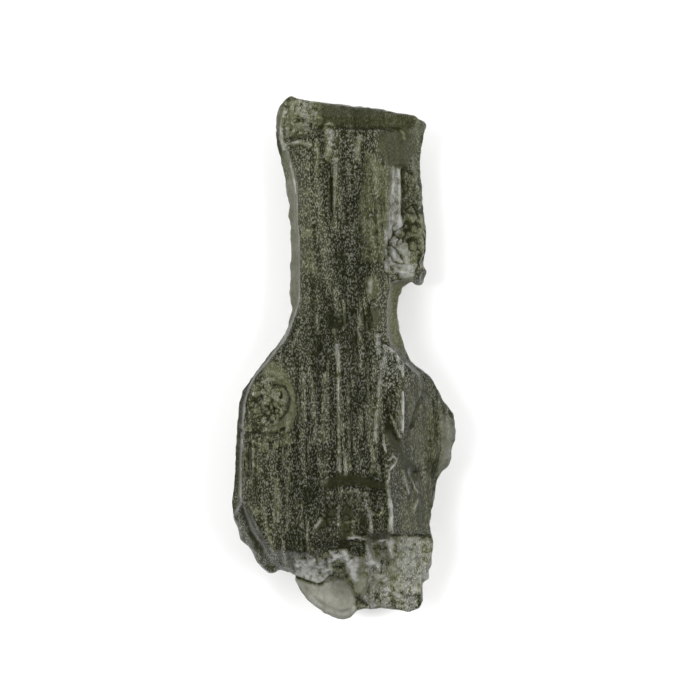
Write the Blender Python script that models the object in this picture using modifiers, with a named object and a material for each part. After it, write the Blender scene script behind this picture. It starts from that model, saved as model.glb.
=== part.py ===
"""A moldavite: one natural piece of bottle-green glass with a narrow neck, a broad body and a broken foot.

The stone lies on its back. Its long way runs along Y, its broad way along X, and the front looks up along +Z.
The origin is the middle of its plan, at the height of the small flat spot that it rests on.
The drawing below is in millimetres. MM turns it into metres.
"""

import bpy
import numpy as np

MM = 0.001
STONE_LENGTH = 40.2
STONE_WIDTH = 17.2
SLAB_HALF_THICKNESS = 0.5
VOXEL = 0.25
TRIANGLE_LIMIT = 9300

# The outline as runs that meet in corners, clockwise from the top left.
TOP_EDGE = [
    (-4.69, 19.73), (-4.38, 20.00), (-4.00, 20.12), (-3.62, 19.96), (-3.15, 19.85), (-2.08, 19.69),
    (-0.69, 19.54), (1.38, 19.27), (3.00, 19.08), (4.54, 18.81), (5.54, 18.67),
]
TOP_RIGHT_CORNER = [(5.54, 18.67), (5.73, 18.42), (6.15, 18.23), (6.38, 18.00)]
NECK_RIGHT = [
    (6.38, 18.00), (6.23, 17.42), (6.12, 16.65), (5.96, 15.81), (5.96, 14.04), (6.08, 12.50),
    (6.19, 11.19), (6.38, 9.65), (6.41, 8.58), (6.27, 7.65), (6.18, 7.04),
]
HOOK = [(6.18, 7.04), (6.38, 6.62), (6.25, 6.12), (6.06, 5.71), (5.60, 5.65), (5.50, 5.86)]
NOTCH = [(5.50, 5.86), (5.08, 5.81), (4.69, 5.58), (4.46, 5.31), (4.48, 5.04)]
WAIST_RIGHT = [
    (4.48, 5.04), (4.31, 4.81), (4.15, 4.04), (4.21, 2.81), (4.46, 1.58), (4.85, 0.50), (5.23, -0.31),
]
WING_UPPER = [
    (5.23, -0.31), (6.00, -0.92), (6.62, -1.38), (6.92, -1.81), (7.38, -2.73), (8.31, -4.12),
    (8.50, -4.54), (8.65, -5.58), (8.65, -6.27),
]
WING_LOWER = [
    (8.65, -6.27), (8.41, -6.73), (8.31, -7.42), (8.35, -7.81), (8.08, -8.35), (7.46, -9.04), (7.22, -9.50),
]
FOOT_RIGHT = [
    (7.22, -9.50), (7.04, -10.73), (6.88, -11.65), (6.75, -12.27), (6.73, -13.27), (6.95, -14.12),
    (6.87, -15.27), (6.69, -16.19), (6.19, -17.35), (6.13, -18.50), (6.13, -18.96), (5.85, -19.38),
]
BOTTOM_EDGE = [
    (5.85, -19.38), (5.08, -19.65), (4.62, -19.54), (3.54, -19.45), (2.69, -19.37), (1.46, -19.42),
    (1.00, -19.46),
]
LOBE_EDGE = [
    (1.00, -19.46), (0.69, -19.88), (0.23, -20.14), (-0.46, -20.14), (-1.31, -19.79), (-2.31, -19.12),
    (-3.15, -18.27), (-3.62, -17.58), (-3.96, -16.73),
]
FOOT_LEFT = [(-3.96, -16.73), (-4.38, -16.52), (-5.15, -16.52), (-5.54, -16.63)]
BEVEL_LEFT = [(-5.54, -16.63), (-6.15, -16.35), (-6.69, -15.69), (-7.38, -14.54), (-8.00, -13.96)]
BODY_LEFT = [
    (-8.00, -13.96), (-8.15, -13.15), (-8.44, -12.50), (-8.60, -11.65), (-8.62, -10.96), (-8.46, -9.73),
    (-8.36, -7.50), (-8.27, -5.19), (-8.12, -3.50),
]
SHOULDER_LEFT = [
    (-8.12, -3.50), (-7.77, -2.58), (-7.08, -1.42), (-6.00, -0.08), (-5.00, 1.12), (-4.38, 2.23),
    (-4.12, 3.08), (-3.92, 3.81),
]
NECK_LEFT = [
    (-3.92, 3.81), (-4.12, 4.50), (-4.12, 6.12), (-4.05, 8.27), (-4.15, 9.96), (-4.25, 11.12),
    (-4.21, 11.88), (-4.46, 12.65), (-4.55, 13.27), (-4.54, 13.96),
]
LIP_LEFT = [
    (-4.54, 13.96), (-4.85, 15.12), (-5.15, 16.19), (-5.29, 16.96), (-5.23, 18.12), (-5.00, 19.19),
    (-4.69, 19.73),
]
OUTLINE_RUNS = [
    TOP_EDGE, TOP_RIGHT_CORNER, NECK_RIGHT, HOOK, NOTCH, WAIST_RIGHT, WING_UPPER, WING_LOWER, FOOT_RIGHT,
    BOTTOM_EDGE, LOBE_EDGE, FOOT_LEFT, BEVEL_LEFT, BODY_LEFT, SHOULDER_LEFT, NECK_LEFT, LIP_LEFT,
]

# The crest: inside it the stone stands at its full height, outside it are the thin margins.
CREST = [
    (-3.4, 22.9), (-4.0, 20.6), (-4.6, 18.9), (-4.8, 17.8), (-4.8, 16.7), (-4.5, 15.9), (-4.15, 14.9),
    (-3.85, 13.6), (-3.7, 12.4), (-3.7, 11.0), (-3.6, 9.8), (-3.5, 7.9), (-3.5, 6.0), (-3.55, 4.4),
    (-3.8, 3.4), (-4.3, 2.0), (-4.9, 1.0), (-5.9, -0.3), (-6.85, -1.35), (-7.4, -2.5), (-7.7, -3.5),
    (-7.85, -5.2), (-7.95, -7.5), (-8.0, -9.8), (-8.1, -11.2), (-8.6, -12.4), (-9.9, -14.5),
    (-9.9, -21.7), (7.6, -21.7), (7.6, -14.5), (6.7, -13.3), (6.65, -12.1), (6.8, -11.0), (6.9, -10.2),
    (7.15, -9.3), (7.4, -8.3), (7.45, -6.35), (7.4, -4.8), (6.6, -3.65), (6.25, -2.9), (6.1, -2.1),
    (5.85, -1.35), (5.15, -0.65), (4.6, -0.1), (4.1, 0.6), (3.6, 1.3), (3.5, 2.5), (3.55, 4.4),
    (3.7, 5.65), (4.45, 5.95), (5.2, 6.05), (5.9, 5.9), (6.1, 6.6), (6.0, 7.35), (6.1, 8.3), (6.1, 9.8),
    (5.95, 11.0), (5.8, 12.1), (5.6, 13.7), (5.4, 15.2), (5.45, 16.7), (5.6, 17.9), (5.85, 19.0),
    (6.2, 22.9),
]
CREST_WALL = 0.2

# The scalloped hollow in the neck's right side.
SCAR = [
    (3.62, 14.6), (4.6, 14.7), (5.7, 13.9), (5.9, 12.1), (6.3, 9.8), (6.6, 7.35), (6.8, 5.4), (4.4, 5.4),
    (3.9, 6.3), (3.5, 6.8), (3.2, 7.3), (3.1, 8.1), (3.25, 9.4), (3.45, 11.0), (3.6, 12.9),
]
SCAR_WALL = 0.16
SCAR_FLOOR_LEFT = 4.7
SCAR_FLOOR_FALL = 0.5

# The lower break: a ledge, a thin lobe at the left of it and a stepped block at the right.
LOBE = [
    (-6.3, -18.65), (-4.55, -16.9), (-3.9, -16.85), (-3.4, -17.1), (-2.7, -17.2), (-2.3, -17.45),
    (-1.8, -17.5), (-1.55, -17.25), (-1.0, -16.9), (0.1, -17.2), (0.6, -17.9), (0.9, -18.65),
    (1.0, -21.7), (-6.3, -21.7),
]
LOBE_WALL = 0.15
LOBE_RIM_THICKNESS = 0.9
LOBE_THICKENING = 0.3
BLOCK = [
    (1.7, -13.8), (3.7, -13.6), (6.6, -13.8), (7.4, -14.4), (7.4, -18.65), (7.1, -21.7), (1.0, -21.7),
    (1.25, -19.1), (1.7, -17.9), (2.0, -16.5), (2.3, -15.3),
]
BLOCK_WALL = 0.2
BLOCK_FLOOR = 4.0
BLOCK_FLOOR_FALL = 0.1

# Heights along the stone, from the top of the neck to the foot: (y, front, rim level).
SPINE = [
    (21.0, 5.6, 3.0), (17.5, 5.8, 2.7), (9.0, 5.9, 2.6), (3.5, 6.4, 2.8), (0.0, 7.0, 3.1), (-8.0, 7.7, 3.3),
    (-14.0, 7.1, 3.2), (-17.5, 6.2, 2.9), (-21.0, 5.2, 2.5),
]
SPINE_EASING = 2.5
CREST_ROUNDING = 1.1
CREST_ROUNDING_REACH = 1.3
MARGIN_HALF_THICKNESS = 0.35
TOP_RIM_EXTRA = 1.6
LEFT_FOOT_RIM_EXTRA = 0.8
BLOCK_RIM_EXTRA = 0.7
MARGIN_SLOPE = 0.8
MARGIN_REACH = 1.3
BACK_REACH = 5.0
BACK_POWER = 1.7
BACK_SINK = 0.12
BACK_TILT = 0.035
BACK_TILT_SPAN = (-14.0, 4.0)
BACK_TILT_MIDDLE = -6.0
ROCKER_START = 8.0
ROCKER_MIDDLE = -3.0
ROCKER_RISE = 0.006
SOFT_CUT = 0.35

# Sloping breaks as (point on the upper line, downhill direction, slope, height at the line).
TOP_BREAK = ((0.5, 17.6), (0.08, 1.0), 0.5, 5.45)
UPPER_RIGHT_FACET = ((3.1, 16.0), (1.0, 0.25), 0.75, 5.55)
LEFT_BEVEL = ((-7.35, -12.6), (-0.86, -0.5), 1.6, 6.1)
LEFT_FOOT_BREAK = ((-5.0, -15.2), (-0.15, -1.0), 1.5, 5.9)
MIDDLE_BREAK = ((0.3, -14.6), (0.15, -1.0), 0.75, 6.3)
MIDDLE_BREAK_SIDES = (-1.9, 3.2)

# The broad facet between the body's crest and its thin right wing: (y, x of its upper line).
WING_FACET_LINE = [
    (1.4, 3.7), (0.4, 4.45), (-1.0, 4.65), (-3.3, 4.6), (-5.6, 4.5), (-7.1, 4.3), (-9.4, 4.15),
    (-11.0, 4.0), (-14.0, 3.7),
]
WING_FACET_SLOPE = 1.05
WING_FACET_HEIGHT = 6.75

# Hollows as (centre x, centre y, half width, half length, depth).
TOP_CHIP = (-3.3, 18.5, 1.5, 1.45, 0.7)
LENS_HOLLOW = (3.8, -5.9, 0.5, 1.1, 0.3)
ARCH_HOLLOW = (0.9, -12.1, 2.6, 3.3, 0.45)
DARK_POCKET = (5.3, -8.9, 0.9, 0.9, 0.2)
SPOT_HOLLOWS = [(-0.2, 7.9, 0.5, 0.35, 0.2), (-0.45, 2.75, 0.55, 0.4, 0.25), (-1.85, 0.8, 0.45, 0.45, 0.2)]
HOOK_LUMP = (5.75, 6.25, 0.75, 0.65, 0.55)

# The open bubble on the left shoulder.
RING_CENTRE = (-5.85, -3.4)
RING_HALF_WIDTH = 2.05
RING_HALF_LENGTH = 2.55
RING_DEPTH = 0.75
RING_GROOVE_AT = 0.62
RING_GROOVE_DEPTH = 0.3

# Flow grooves down the front as (upper x, upper y, lower x, lower y, half width, depth).
FLOW_GROOVES = [
    (-2.00, 16.9, -1.90, 13.8, 0.28, 0.22), (-1.15, 17.4, -1.08, 14.7, 0.25, 0.18),
    (-0.60, 14.6, -0.46, 8.9, 0.30, 0.22), (1.15, 17.1, 1.25, 15.0, 0.30, 0.18),
    (-2.15, 13.3, -1.90, 7.3, 0.30, 0.20), (0.15, 16.7, 0.35, 9.4, 0.28, 0.16),
    (-0.85, 2.2, -0.10, -9.6, 0.32, 0.30), (2.60, 2.0, 3.60, -9.3, 0.38, 0.25),
    (-2.90, 2.1, -2.70, -4.8, 0.30, 0.22), (1.25, -0.2, 1.85, -8.6, 0.30, 0.20),
    (-6.90, -5.6, -6.60, -9.4, 0.28, 0.25), (-1.60, 9.0, -1.30, 3.6, 0.28, 0.20),
    (-2.55, -7.5, -2.00, -14.4, 0.32, 0.22), (-4.85, -6.3, -4.40, -14.4, 0.32, 0.20),
]
# Shallow grooves on the hidden back, in the same form.
BACK_GROOVES = [
    (-1.6, 15.5, -1.2, 5.0, 0.5, 0.20), (1.9, 16.0, 2.3, 6.5, 0.5, 0.20), (-4.2, -1.5, -3.6, -12.0, 0.55, 0.22),
    (4.4, -2.5, 4.9, -12.5, 0.55, 0.22), (5.9, -4.0, 6.1, -10.0, 0.45, 0.18), (-6.3, -4.5, -6.0, -12.5, 0.5, 0.2),
]
BACK_PITS = [
    (-2.3, 17.2, 0.9, 0.8, 0.4), (3.9, 10.3, 1.0, 1.3, 0.4), (-5.2, -7.2, 1.1, 1.0, 0.4), (2.6, -16.0, 1.3, 1.0, 0.4),
]

# Broad unevenness: (cell across, cell along, height, seed).
SURFACE_LUMPS = [(2.1, 3.4, 0.16, 3), (0.9, 1.6, 0.09, 5)]
SURFACE_FLOW = (0.62, 4.5, 0.12, 11)
FLOW_TILT = 0.06
NOISE_CELLS = 64
FLAT_SNAP = 0.03


def smooth_step(value, start, end):
    """Rises smoothly from 0 at start to 1 at end."""
    t = np.clip((value - start) / (end - start), 0.0, 1.0)
    return t * t * (3.0 - 2.0 * t)


def soft_lower(first, second, width):
    """The lower of two heights, with a fillet of about this width where they meet."""
    gap = np.clip(0.5 + 0.5 * (second - first) / width, 0.0, 1.0)
    return second + (first - second) * gap - width * gap * (1.0 - gap)


def run_through(points, steps):
    """Points along a smooth line through the given ones, with its last point left off."""
    knots = np.array(points, float)
    before = np.vstack([2 * knots[0] - knots[1], knots[:-2]])
    after = np.vstack([knots[2:], 2 * knots[-1] - knots[-2]])
    line = []
    for p0, p1, p2, p3 in zip(before, knots[:-1], knots[1:], after):
        for t in np.arange(steps) / steps:
            tangent_in = 0.5 * (p2 - p0)
            tangent_out = 0.5 * (p3 - p1)
            line.append(
                (2 * t**3 - 3 * t**2 + 1) * p1 + (t**3 - 2 * t**2 + t) * tangent_in
                + (3 * t**2 - 2 * t**3) * p2 + (t**3 - t**2) * tangent_out
            )
    return line


def closed_outline():
    """The whole outline as one closed line."""
    return np.array([p for run in OUTLINE_RUNS for p in run_through(run, 3)])


def distance_inside(x, y, loop):
    """The distance to a closed line: positive inside it, negative outside."""
    nearest = np.full(x.shape, np.inf)
    crossings = np.zeros(x.shape, int)
    for (ax, ay), (bx, by) in zip(loop, np.roll(loop, -1, axis=0)):
        dx = bx - ax
        dy = by - ay
        along = np.clip(((x - ax) * dx + (y - ay) * dy) / max(dx * dx + dy * dy, 1e-12), 0.0, 1.0)
        nearest = np.minimum(nearest, np.hypot(x - ax - along * dx, y - ay - along * dy))
        if ay != by:
            spans = (ay > y) != (by > y)
            crossings += spans & (x < ax + (y - ay) * dx / dy)
    return np.where(crossings % 2 == 1, nearest, -nearest)


def depth_from_rim(x, y, loop):
    """How far in from the whole rim a point is, without the creases of a plain distance."""
    following = np.roll(loop, -1, axis=0)
    pull = np.zeros(x.shape)
    for (ax, ay), (bx, by) in zip(loop, following):
        length = np.hypot(bx - ax, by - ay)
        away = np.hypot(x - (ax + bx) / 2, y - (ay + by) / 2)
        pull += length / np.maximum(away, 0.5 * length) ** 3
    return np.sqrt(2.0 / pull)


def value_noise(across, along, seed):
    """Smooth random heights between -1 and 1 at points given in cells."""
    table = np.random.default_rng(seed).uniform(-1.0, 1.0, (NOISE_CELLS, NOISE_CELLS))
    column = np.floor(across).astype(int)
    row = np.floor(along).astype(int)
    u = smooth_step(across - column, 0.0, 1.0)
    v = smooth_step(along - row, 0.0, 1.0)
    column = column % NOISE_CELLS
    row = row % NOISE_CELLS
    next_column = (column + 1) % NOISE_CELLS
    next_row = (row + 1) % NOISE_CELLS
    upper = table[row, column] * (1 - u) + table[row, next_column] * u
    lower = table[next_row, column] * (1 - u) + table[next_row, next_column] * u
    return upper * (1 - v) + lower * v


def dish(x, y, hollow):
    """How deep a rounded hollow is at each point."""
    centre_x, centre_y, half_width, half_length, depth = hollow
    r = np.hypot((x - centre_x) / half_width, (y - centre_y) / half_length)
    return depth * (1.0 - smooth_step(r, 0.0, 1.0))


def groove(x, y, line):
    """How deep a groove between two points is at each point."""
    upper_x, upper_y, lower_x, lower_y, half_width, depth = line
    dx = lower_x - upper_x
    dy = lower_y - upper_y
    along = np.clip(((x - upper_x) * dx + (y - upper_y) * dy) / (dx * dx + dy * dy), 0.0, 1.0)
    off = np.hypot(x - upper_x - along * dx, y - upper_y - along * dy) / half_width
    return depth * np.exp(-off * off) * np.sin(np.pi * np.clip(along, 0.08, 0.92))


def sloping_plane(x, y, facet):
    """The height of a plane that falls away downhill from its upper line."""
    (line_x, line_y), (way_x, way_y), slope, height = facet
    length = np.hypot(way_x, way_y)
    return height - slope * ((x - line_x) * way_x + (y - line_y) * way_y) / length


def along_stone(y, column):
    """A value of the SPINE table at each place along the stone, with its bends eased."""
    table = np.array(SPINE[::-1])
    shifts = np.linspace(-SPINE_EASING, SPINE_EASING, 7)
    return sum(np.interp(y + shift, table[:, 0], table[:, column]) for shift in shifts) / len(shifts)


def rim_half_thickness(x, y):
    """Half the rim's thickness: thin at the sides, thicker along the three broken ends."""
    top = smooth_step(y, 16.8, 18.6)
    left_foot = smooth_step(-y, 11.5, 13.5) * smooth_step(-x, 4.4, 5.4)
    block = smooth_step(-y, 12.6, 14.2) * smooth_step(x, 1.0, 2.2)
    extra = TOP_RIM_EXTRA * top + LEFT_FOOT_RIM_EXTRA * left_foot + BLOCK_RIM_EXTRA * block
    return MARGIN_HALF_THICKNESS + extra


def ring_depth(x, y):
    """The open bubble: a sloping wall, a groove inside it and a floor that comes up again in the middle."""
    r = np.hypot((x - RING_CENTRE[0]) / RING_HALF_WIDTH, (y - RING_CENTRE[1]) / RING_HALF_LENGTH)
    wall = RING_DEPTH * (1.0 - smooth_step(r, 0.55, 1.0))
    trough = RING_GROOVE_DEPTH * np.exp(-(((r - RING_GROOVE_AT) / 0.12) ** 2))
    return wall * (0.6 + 0.4 * smooth_step(r, 0.0, 0.5)) + trough


def back_height(x, y, edge, outline):
    """The underside: nearly flat in the middle, curving up to the rim."""
    inward = np.clip(np.minimum(depth_from_rim(x, y, outline), edge) / BACK_REACH, 0.0, 1.0)
    rim = along_stone(y, 2) - rim_half_thickness(x, y)
    height = (rim + BACK_SINK) * (1.0 - inward) ** BACK_POWER - BACK_SINK
    height -= BACK_TILT * (np.clip(y, *BACK_TILT_SPAN) - BACK_TILT_MIDDLE)
    height += ROCKER_RISE * np.maximum(np.abs(y - ROCKER_MIDDLE) - ROCKER_START, 0.0) ** 2
    lift = smooth_step(edge, 0.0, 1.2)
    for line in BACK_GROOVES:
        height += lift * groove(x, y, line)
    for pit in BACK_PITS:
        height += lift * dish(x, y, pit)
    height += lift * 0.10 * value_noise(x / 1.7 + 30.0, y / 2.6 + 30.0, 23)
    return np.maximum(height, 0.0)


def front_height(x, y, edge, back):
    """The upper side: the high middle with its breaks and hollows, and the thin margins around it."""
    crest = distance_inside(x, y, np.array(CREST))
    rim = along_stone(y, 2)
    top = along_stone(y, 1) - CREST_ROUNDING * np.exp(-np.maximum(crest, 0.0) / CREST_ROUNDING_REACH)
    for facet in (TOP_BREAK, UPPER_RIGHT_FACET, LEFT_BEVEL, LEFT_FOOT_BREAK):
        top = soft_lower(top, sloping_plane(x, y, facet), SOFT_CUT)
    middle = sloping_plane(x, y, MIDDLE_BREAK)
    middle += 3.0 * np.maximum(MIDDLE_BREAK_SIDES[0] - x, 0.0) + 3.0 * np.maximum(x - MIDDLE_BREAK_SIDES[1], 0.0)
    top = soft_lower(top, middle, SOFT_CUT)
    line = np.array(WING_FACET_LINE[::-1])
    wing = WING_FACET_HEIGHT - WING_FACET_SLOPE * (x - np.interp(y, line[:, 0], line[:, 1]))
    wing += 2.5 * np.maximum(y - WING_FACET_LINE[0][0], 0.0)
    top = soft_lower(top, wing, SOFT_CUT)
    for hollow in (TOP_CHIP, LENS_HOLLOW, ARCH_HOLLOW, DARK_POCKET, *SPOT_HOLLOWS):
        top -= dish(x, y, hollow)
    top -= ring_depth(x, y)
    for line in FLOW_GROOVES:
        top -= groove(x, y, line)
    for across, along, height, seed in SURFACE_LUMPS:
        top += height * value_noise(x / across + 20.0, y / along + 20.0, seed)
    across, along, height, seed = SURFACE_FLOW
    top += height * value_noise((x + FLOW_TILT * y) / across + 40.0, y / along + 20.0, seed)

    margin = rim + rim_half_thickness(x, y) + MARGIN_SLOPE * np.minimum(edge, MARGIN_REACH)
    height = margin + (np.maximum(top, margin) - margin) * smooth_step(crest, -CREST_WALL, CREST_WALL)

    scar_floor = SCAR_FLOOR_LEFT - SCAR_FLOOR_FALL * (x - SCAR[0][0])
    scar_floor += 0.22 * value_noise(x / 0.7 + 9.0, y / 0.6 + 9.0, 31)
    inside_scar = smooth_step(distance_inside(x, y, np.array(SCAR)), -SCAR_WALL, SCAR_WALL)
    height -= inside_scar * np.maximum(height - scar_floor, 0.0)
    height += HOOK_LUMP[4] * dish(x, y, HOOK_LUMP[:4] + (1.0,))

    block_floor = BLOCK_FLOOR - BLOCK_FLOOR_FALL * (-13.8 - y)
    block_floor += 0.12 * value_noise(x / 0.9 + 12.0, y / 0.9 + 12.0, 37)
    inside_block = smooth_step(distance_inside(x, y, np.array(BLOCK)), -BLOCK_WALL, BLOCK_WALL)
    height -= inside_block * np.maximum(height - block_floor, 0.0)
    lobe_top = back + LOBE_RIM_THICKNESS + LOBE_THICKENING * np.maximum(edge, 0.0)
    inside_lobe = smooth_step(distance_inside(x, y, np.array(LOBE)), -LOBE_WALL, LOBE_WALL)
    height -= inside_lobe * np.maximum(height - lobe_top, 0.0)
    return np.maximum(height, back + 2 * MARGIN_HALF_THICKNESS)


def clear_scene():
    """Removes what a new file starts with."""
    for thing in list(bpy.data.objects):
        bpy.data.objects.remove(thing, do_unlink=True)


def new_collection(name):
    """A named collection in the scene."""
    collection = bpy.data.collections.new(name)
    bpy.context.scene.collection.children.link(collection)
    return collection


def outline_slab(outline, collection):
    """The outline as a filled curve with a small thickness."""
    curve = bpy.data.curves.new("outline", "CURVE")
    curve.dimensions = "2D"
    curve.fill_mode = "BOTH"
    curve.extrude = SLAB_HALF_THICKNESS * MM
    spline = curve.splines.new("POLY")
    spline.points.add(len(outline) - 1)
    for point, (x, y) in zip(spline.points, outline):
        point.co = (x * MM, y * MM, 0.0, 1.0)
    spline.use_cyclic_u = True
    slab = bpy.data.objects.new("slab", curve)
    collection.objects.link(slab)
    return slab


def settled_mesh(thing, name):
    """The mesh of an object with its modifiers worked in."""
    bpy.context.view_layer.update()
    graph = bpy.context.evaluated_depsgraph_get()
    mesh = bpy.data.meshes.new_from_object(thing.evaluated_get(graph))
    mesh.name = name
    return mesh


def worked(mesh, collection, kind, **settings):
    """A mesh after one modifier. The mesh given is removed."""
    thing = bpy.data.objects.new("work", mesh)
    collection.objects.link(thing)
    modifier = thing.modifiers.new(kind.lower(), kind)
    for setting, value in settings.items():
        setattr(modifier, setting, value)
    result = settled_mesh(thing, mesh.name)
    bpy.data.objects.remove(thing, do_unlink=True)
    bpy.data.meshes.remove(mesh)
    return result


def vertex_places(mesh):
    """The vertices in millimetres, one row each."""
    flat = np.empty(len(mesh.vertices) * 3)
    mesh.vertices.foreach_get("co", flat)
    return flat.reshape(-1, 3) / MM


def set_vertex_places(mesh, places):
    """Puts the vertices back, given in millimetres."""
    mesh.vertices.foreach_set("co", (places * MM).ravel())
    mesh.update()


def shape_stone(mesh, outline):
    """Moves the slab's two faces to the stone's back and front."""
    places = vertex_places(mesh)
    x = places[:, 0]
    y = places[:, 1]
    edge = np.maximum(distance_inside(x, y, outline), 0.0)
    back = back_height(x, y, edge, outline)
    front = front_height(x, y, edge, back)
    half = np.abs(places[:, 2]).max()
    share = (places[:, 2] + half) / (2.0 * half)
    places[:, 2] = back + share * (front - back)
    set_vertex_places(mesh, places)


def seat_stone(mesh):
    """Centres the plan on the origin, brings it to its length and width, and levels the flat spot."""
    places = vertex_places(mesh)
    low = places.min(axis=0)
    high = places.max(axis=0)
    places[:, 0] = (places[:, 0] - (low[0] + high[0]) / 2) * STONE_WIDTH / (high[0] - low[0])
    places[:, 1] = (places[:, 1] - (low[1] + high[1]) / 2) * STONE_LENGTH / (high[1] - low[1])
    places[:, 2] -= low[2]
    places[places[:, 2] < FLAT_SNAP, 2] = 0.0
    set_vertex_places(mesh, places)


def moldavite_glass():
    """Olive-green natural glass."""
    material = bpy.data.materials.new("moldavite_glass")
    material.use_nodes = True
    shader = material.node_tree.nodes["Principled BSDF"]
    shader.inputs["Base Color"].default_value = (0.085, 0.1, 0.045, 1.0)
    shader.inputs["Roughness"].default_value = 0.35
    shader.inputs["Metallic"].default_value = 0.0
    shader.inputs["IOR"].default_value = 1.49
    material.diffuse_color = (0.085, 0.1, 0.045, 1.0)
    return material


def build():
    """Makes the stone as one closed body."""
    clear_scene()
    collection = new_collection("moldavite")
    outline = closed_outline()
    slab = outline_slab(outline, collection)
    mesh = settled_mesh(slab, "moldavite")
    bpy.data.objects.remove(slab, do_unlink=True)
    mesh = worked(mesh, collection, "WELD", merge_threshold=0.00005)
    mesh = worked(mesh, collection, "REMESH", mode="VOXEL", voxel_size=VOXEL * MM, adaptivity=0.0)
    shape_stone(mesh, outline)
    mesh = worked(mesh, collection, "TRIANGULATE")
    share = TRIANGLE_LIMIT / len(mesh.polygons)
    mesh = worked(mesh, collection, "DECIMATE", ratio=share, use_collapse_triangulate=True)
    seat_stone(mesh)
    mesh.materials.clear()
    mesh.materials.append(moldavite_glass())
    stone = bpy.data.objects.new("moldavite", mesh)
    collection.objects.link(stone)


build()
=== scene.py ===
"""A moldavite lying on its back on a pale floor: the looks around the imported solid.

The drawing is in millimetres, in the solid's own frame, and repeats its outline and its main form.
On that form come the fine grooves, pits, chips and ledges of the glass's skin.
"""

import bpy
import mathutils
import numpy as np
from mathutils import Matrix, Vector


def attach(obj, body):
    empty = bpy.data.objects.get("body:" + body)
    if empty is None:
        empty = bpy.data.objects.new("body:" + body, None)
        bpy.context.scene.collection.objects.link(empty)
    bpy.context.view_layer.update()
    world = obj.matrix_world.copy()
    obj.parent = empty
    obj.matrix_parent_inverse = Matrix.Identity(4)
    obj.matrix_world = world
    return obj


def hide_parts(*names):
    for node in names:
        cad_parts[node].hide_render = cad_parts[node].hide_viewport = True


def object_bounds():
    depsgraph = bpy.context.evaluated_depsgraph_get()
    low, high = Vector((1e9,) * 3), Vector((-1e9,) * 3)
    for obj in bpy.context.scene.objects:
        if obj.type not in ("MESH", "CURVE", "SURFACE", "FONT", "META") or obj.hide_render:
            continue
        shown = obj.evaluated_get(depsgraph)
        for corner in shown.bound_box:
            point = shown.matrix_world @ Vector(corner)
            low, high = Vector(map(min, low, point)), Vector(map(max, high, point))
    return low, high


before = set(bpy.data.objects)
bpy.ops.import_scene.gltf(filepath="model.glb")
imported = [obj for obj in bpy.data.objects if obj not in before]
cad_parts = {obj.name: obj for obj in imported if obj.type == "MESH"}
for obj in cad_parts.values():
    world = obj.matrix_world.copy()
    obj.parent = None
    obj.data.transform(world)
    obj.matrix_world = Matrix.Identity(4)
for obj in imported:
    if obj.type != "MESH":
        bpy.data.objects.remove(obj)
CAD_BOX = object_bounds()

MM = 0.001
OUTLINE_STEPS = 3
SLAB_HALF_THICKNESS = 0.5
WELD_REACH = 0.05
FORM_VOXEL = 0.15
SKIN_VOXEL = 0.106
# Below this upward lean the surface is the hidden underside, which keeps this share of its faces.
UNDERSIDE_LEAN = -0.4
UNDERSIDE_SHARE = 0.63

# The view: straight down, with a long lens.
FRAME_WIDTH = 53.85
FRAME_MIDDLE = (0.46, 0.58)
RIM_HEIGHT = 3.0
CAMERA_LENS = 200.0
CAMERA_SENSOR = 36.0
CAMERA_CLIP = (0.01, 5.0)

# The outline as runs, clockwise from the top left. Each run ends in the corner where the next one starts.
TOP_EDGE = [
    (-4.69, 19.73), (-4.38, 20.0), (-4.0, 20.12), (-3.62, 19.96), (-3.15, 19.85), (-2.08, 19.69),
    (-0.69, 19.54), (1.38, 19.27), (3.0, 19.08), (4.54, 18.81),
]
TOP_RIGHT_CORNER = [(5.54, 18.67), (5.73, 18.42), (6.15, 18.23)]
NECK_RIGHT = [
    (6.38, 18.0), (6.23, 17.42), (6.12, 16.65), (5.96, 15.81), (5.96, 14.04), (6.08, 12.5), (6.19, 11.19),
    (6.38, 9.65), (6.41, 8.58), (6.27, 7.65),
]
HOOK = [(6.18, 7.04), (6.38, 6.62), (6.25, 6.12), (6.06, 5.71), (5.6, 5.65)]
NOTCH = [(5.5, 5.86), (5.08, 5.81), (4.69, 5.58), (4.46, 5.31)]
WAIST_RIGHT = [(4.48, 5.04), (4.31, 4.81), (4.15, 4.04), (4.21, 2.81), (4.46, 1.58), (4.85, 0.5)]
WING_UPPER = [
    (5.23, -0.31), (6.0, -0.92), (6.62, -1.38), (6.92, -1.81), (7.38, -2.73), (8.31, -4.12), (8.5, -4.54),
    (8.65, -5.58),
]
WING_LOWER = [(8.65, -6.27), (8.41, -6.73), (8.31, -7.42), (8.35, -7.81), (8.08, -8.35), (7.46, -9.04)]
FOOT_RIGHT = [
    (7.22, -9.5), (7.04, -10.73), (6.88, -11.65), (6.75, -12.27), (6.73, -13.27), (6.95, -14.12),
    (6.87, -15.27), (6.69, -16.19), (6.19, -17.35), (6.13, -18.5), (6.13, -18.96),
]
BOTTOM_EDGE = [
    (5.85, -19.38), (5.08, -19.65), (4.62, -19.54), (3.54, -19.45), (2.69, -19.37), (1.46, -19.42),
]
LOBE_EDGE = [
    (1.0, -19.46), (0.69, -19.88), (0.23, -20.14), (-0.46, -20.14), (-1.31, -19.79), (-2.31, -19.12),
    (-3.15, -18.27), (-3.62, -17.58),
]
FOOT_LEFT = [(-3.96, -16.73), (-4.38, -16.52), (-5.15, -16.52)]
BEVEL_LEFT = [(-5.54, -16.63), (-6.15, -16.35), (-6.69, -15.69), (-7.38, -14.54)]
BODY_LEFT = [
    (-8.0, -13.96), (-8.15, -13.15), (-8.44, -12.5), (-8.6, -11.65), (-8.62, -10.96), (-8.46, -9.73),
    (-8.36, -7.5), (-8.27, -5.19),
]
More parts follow.
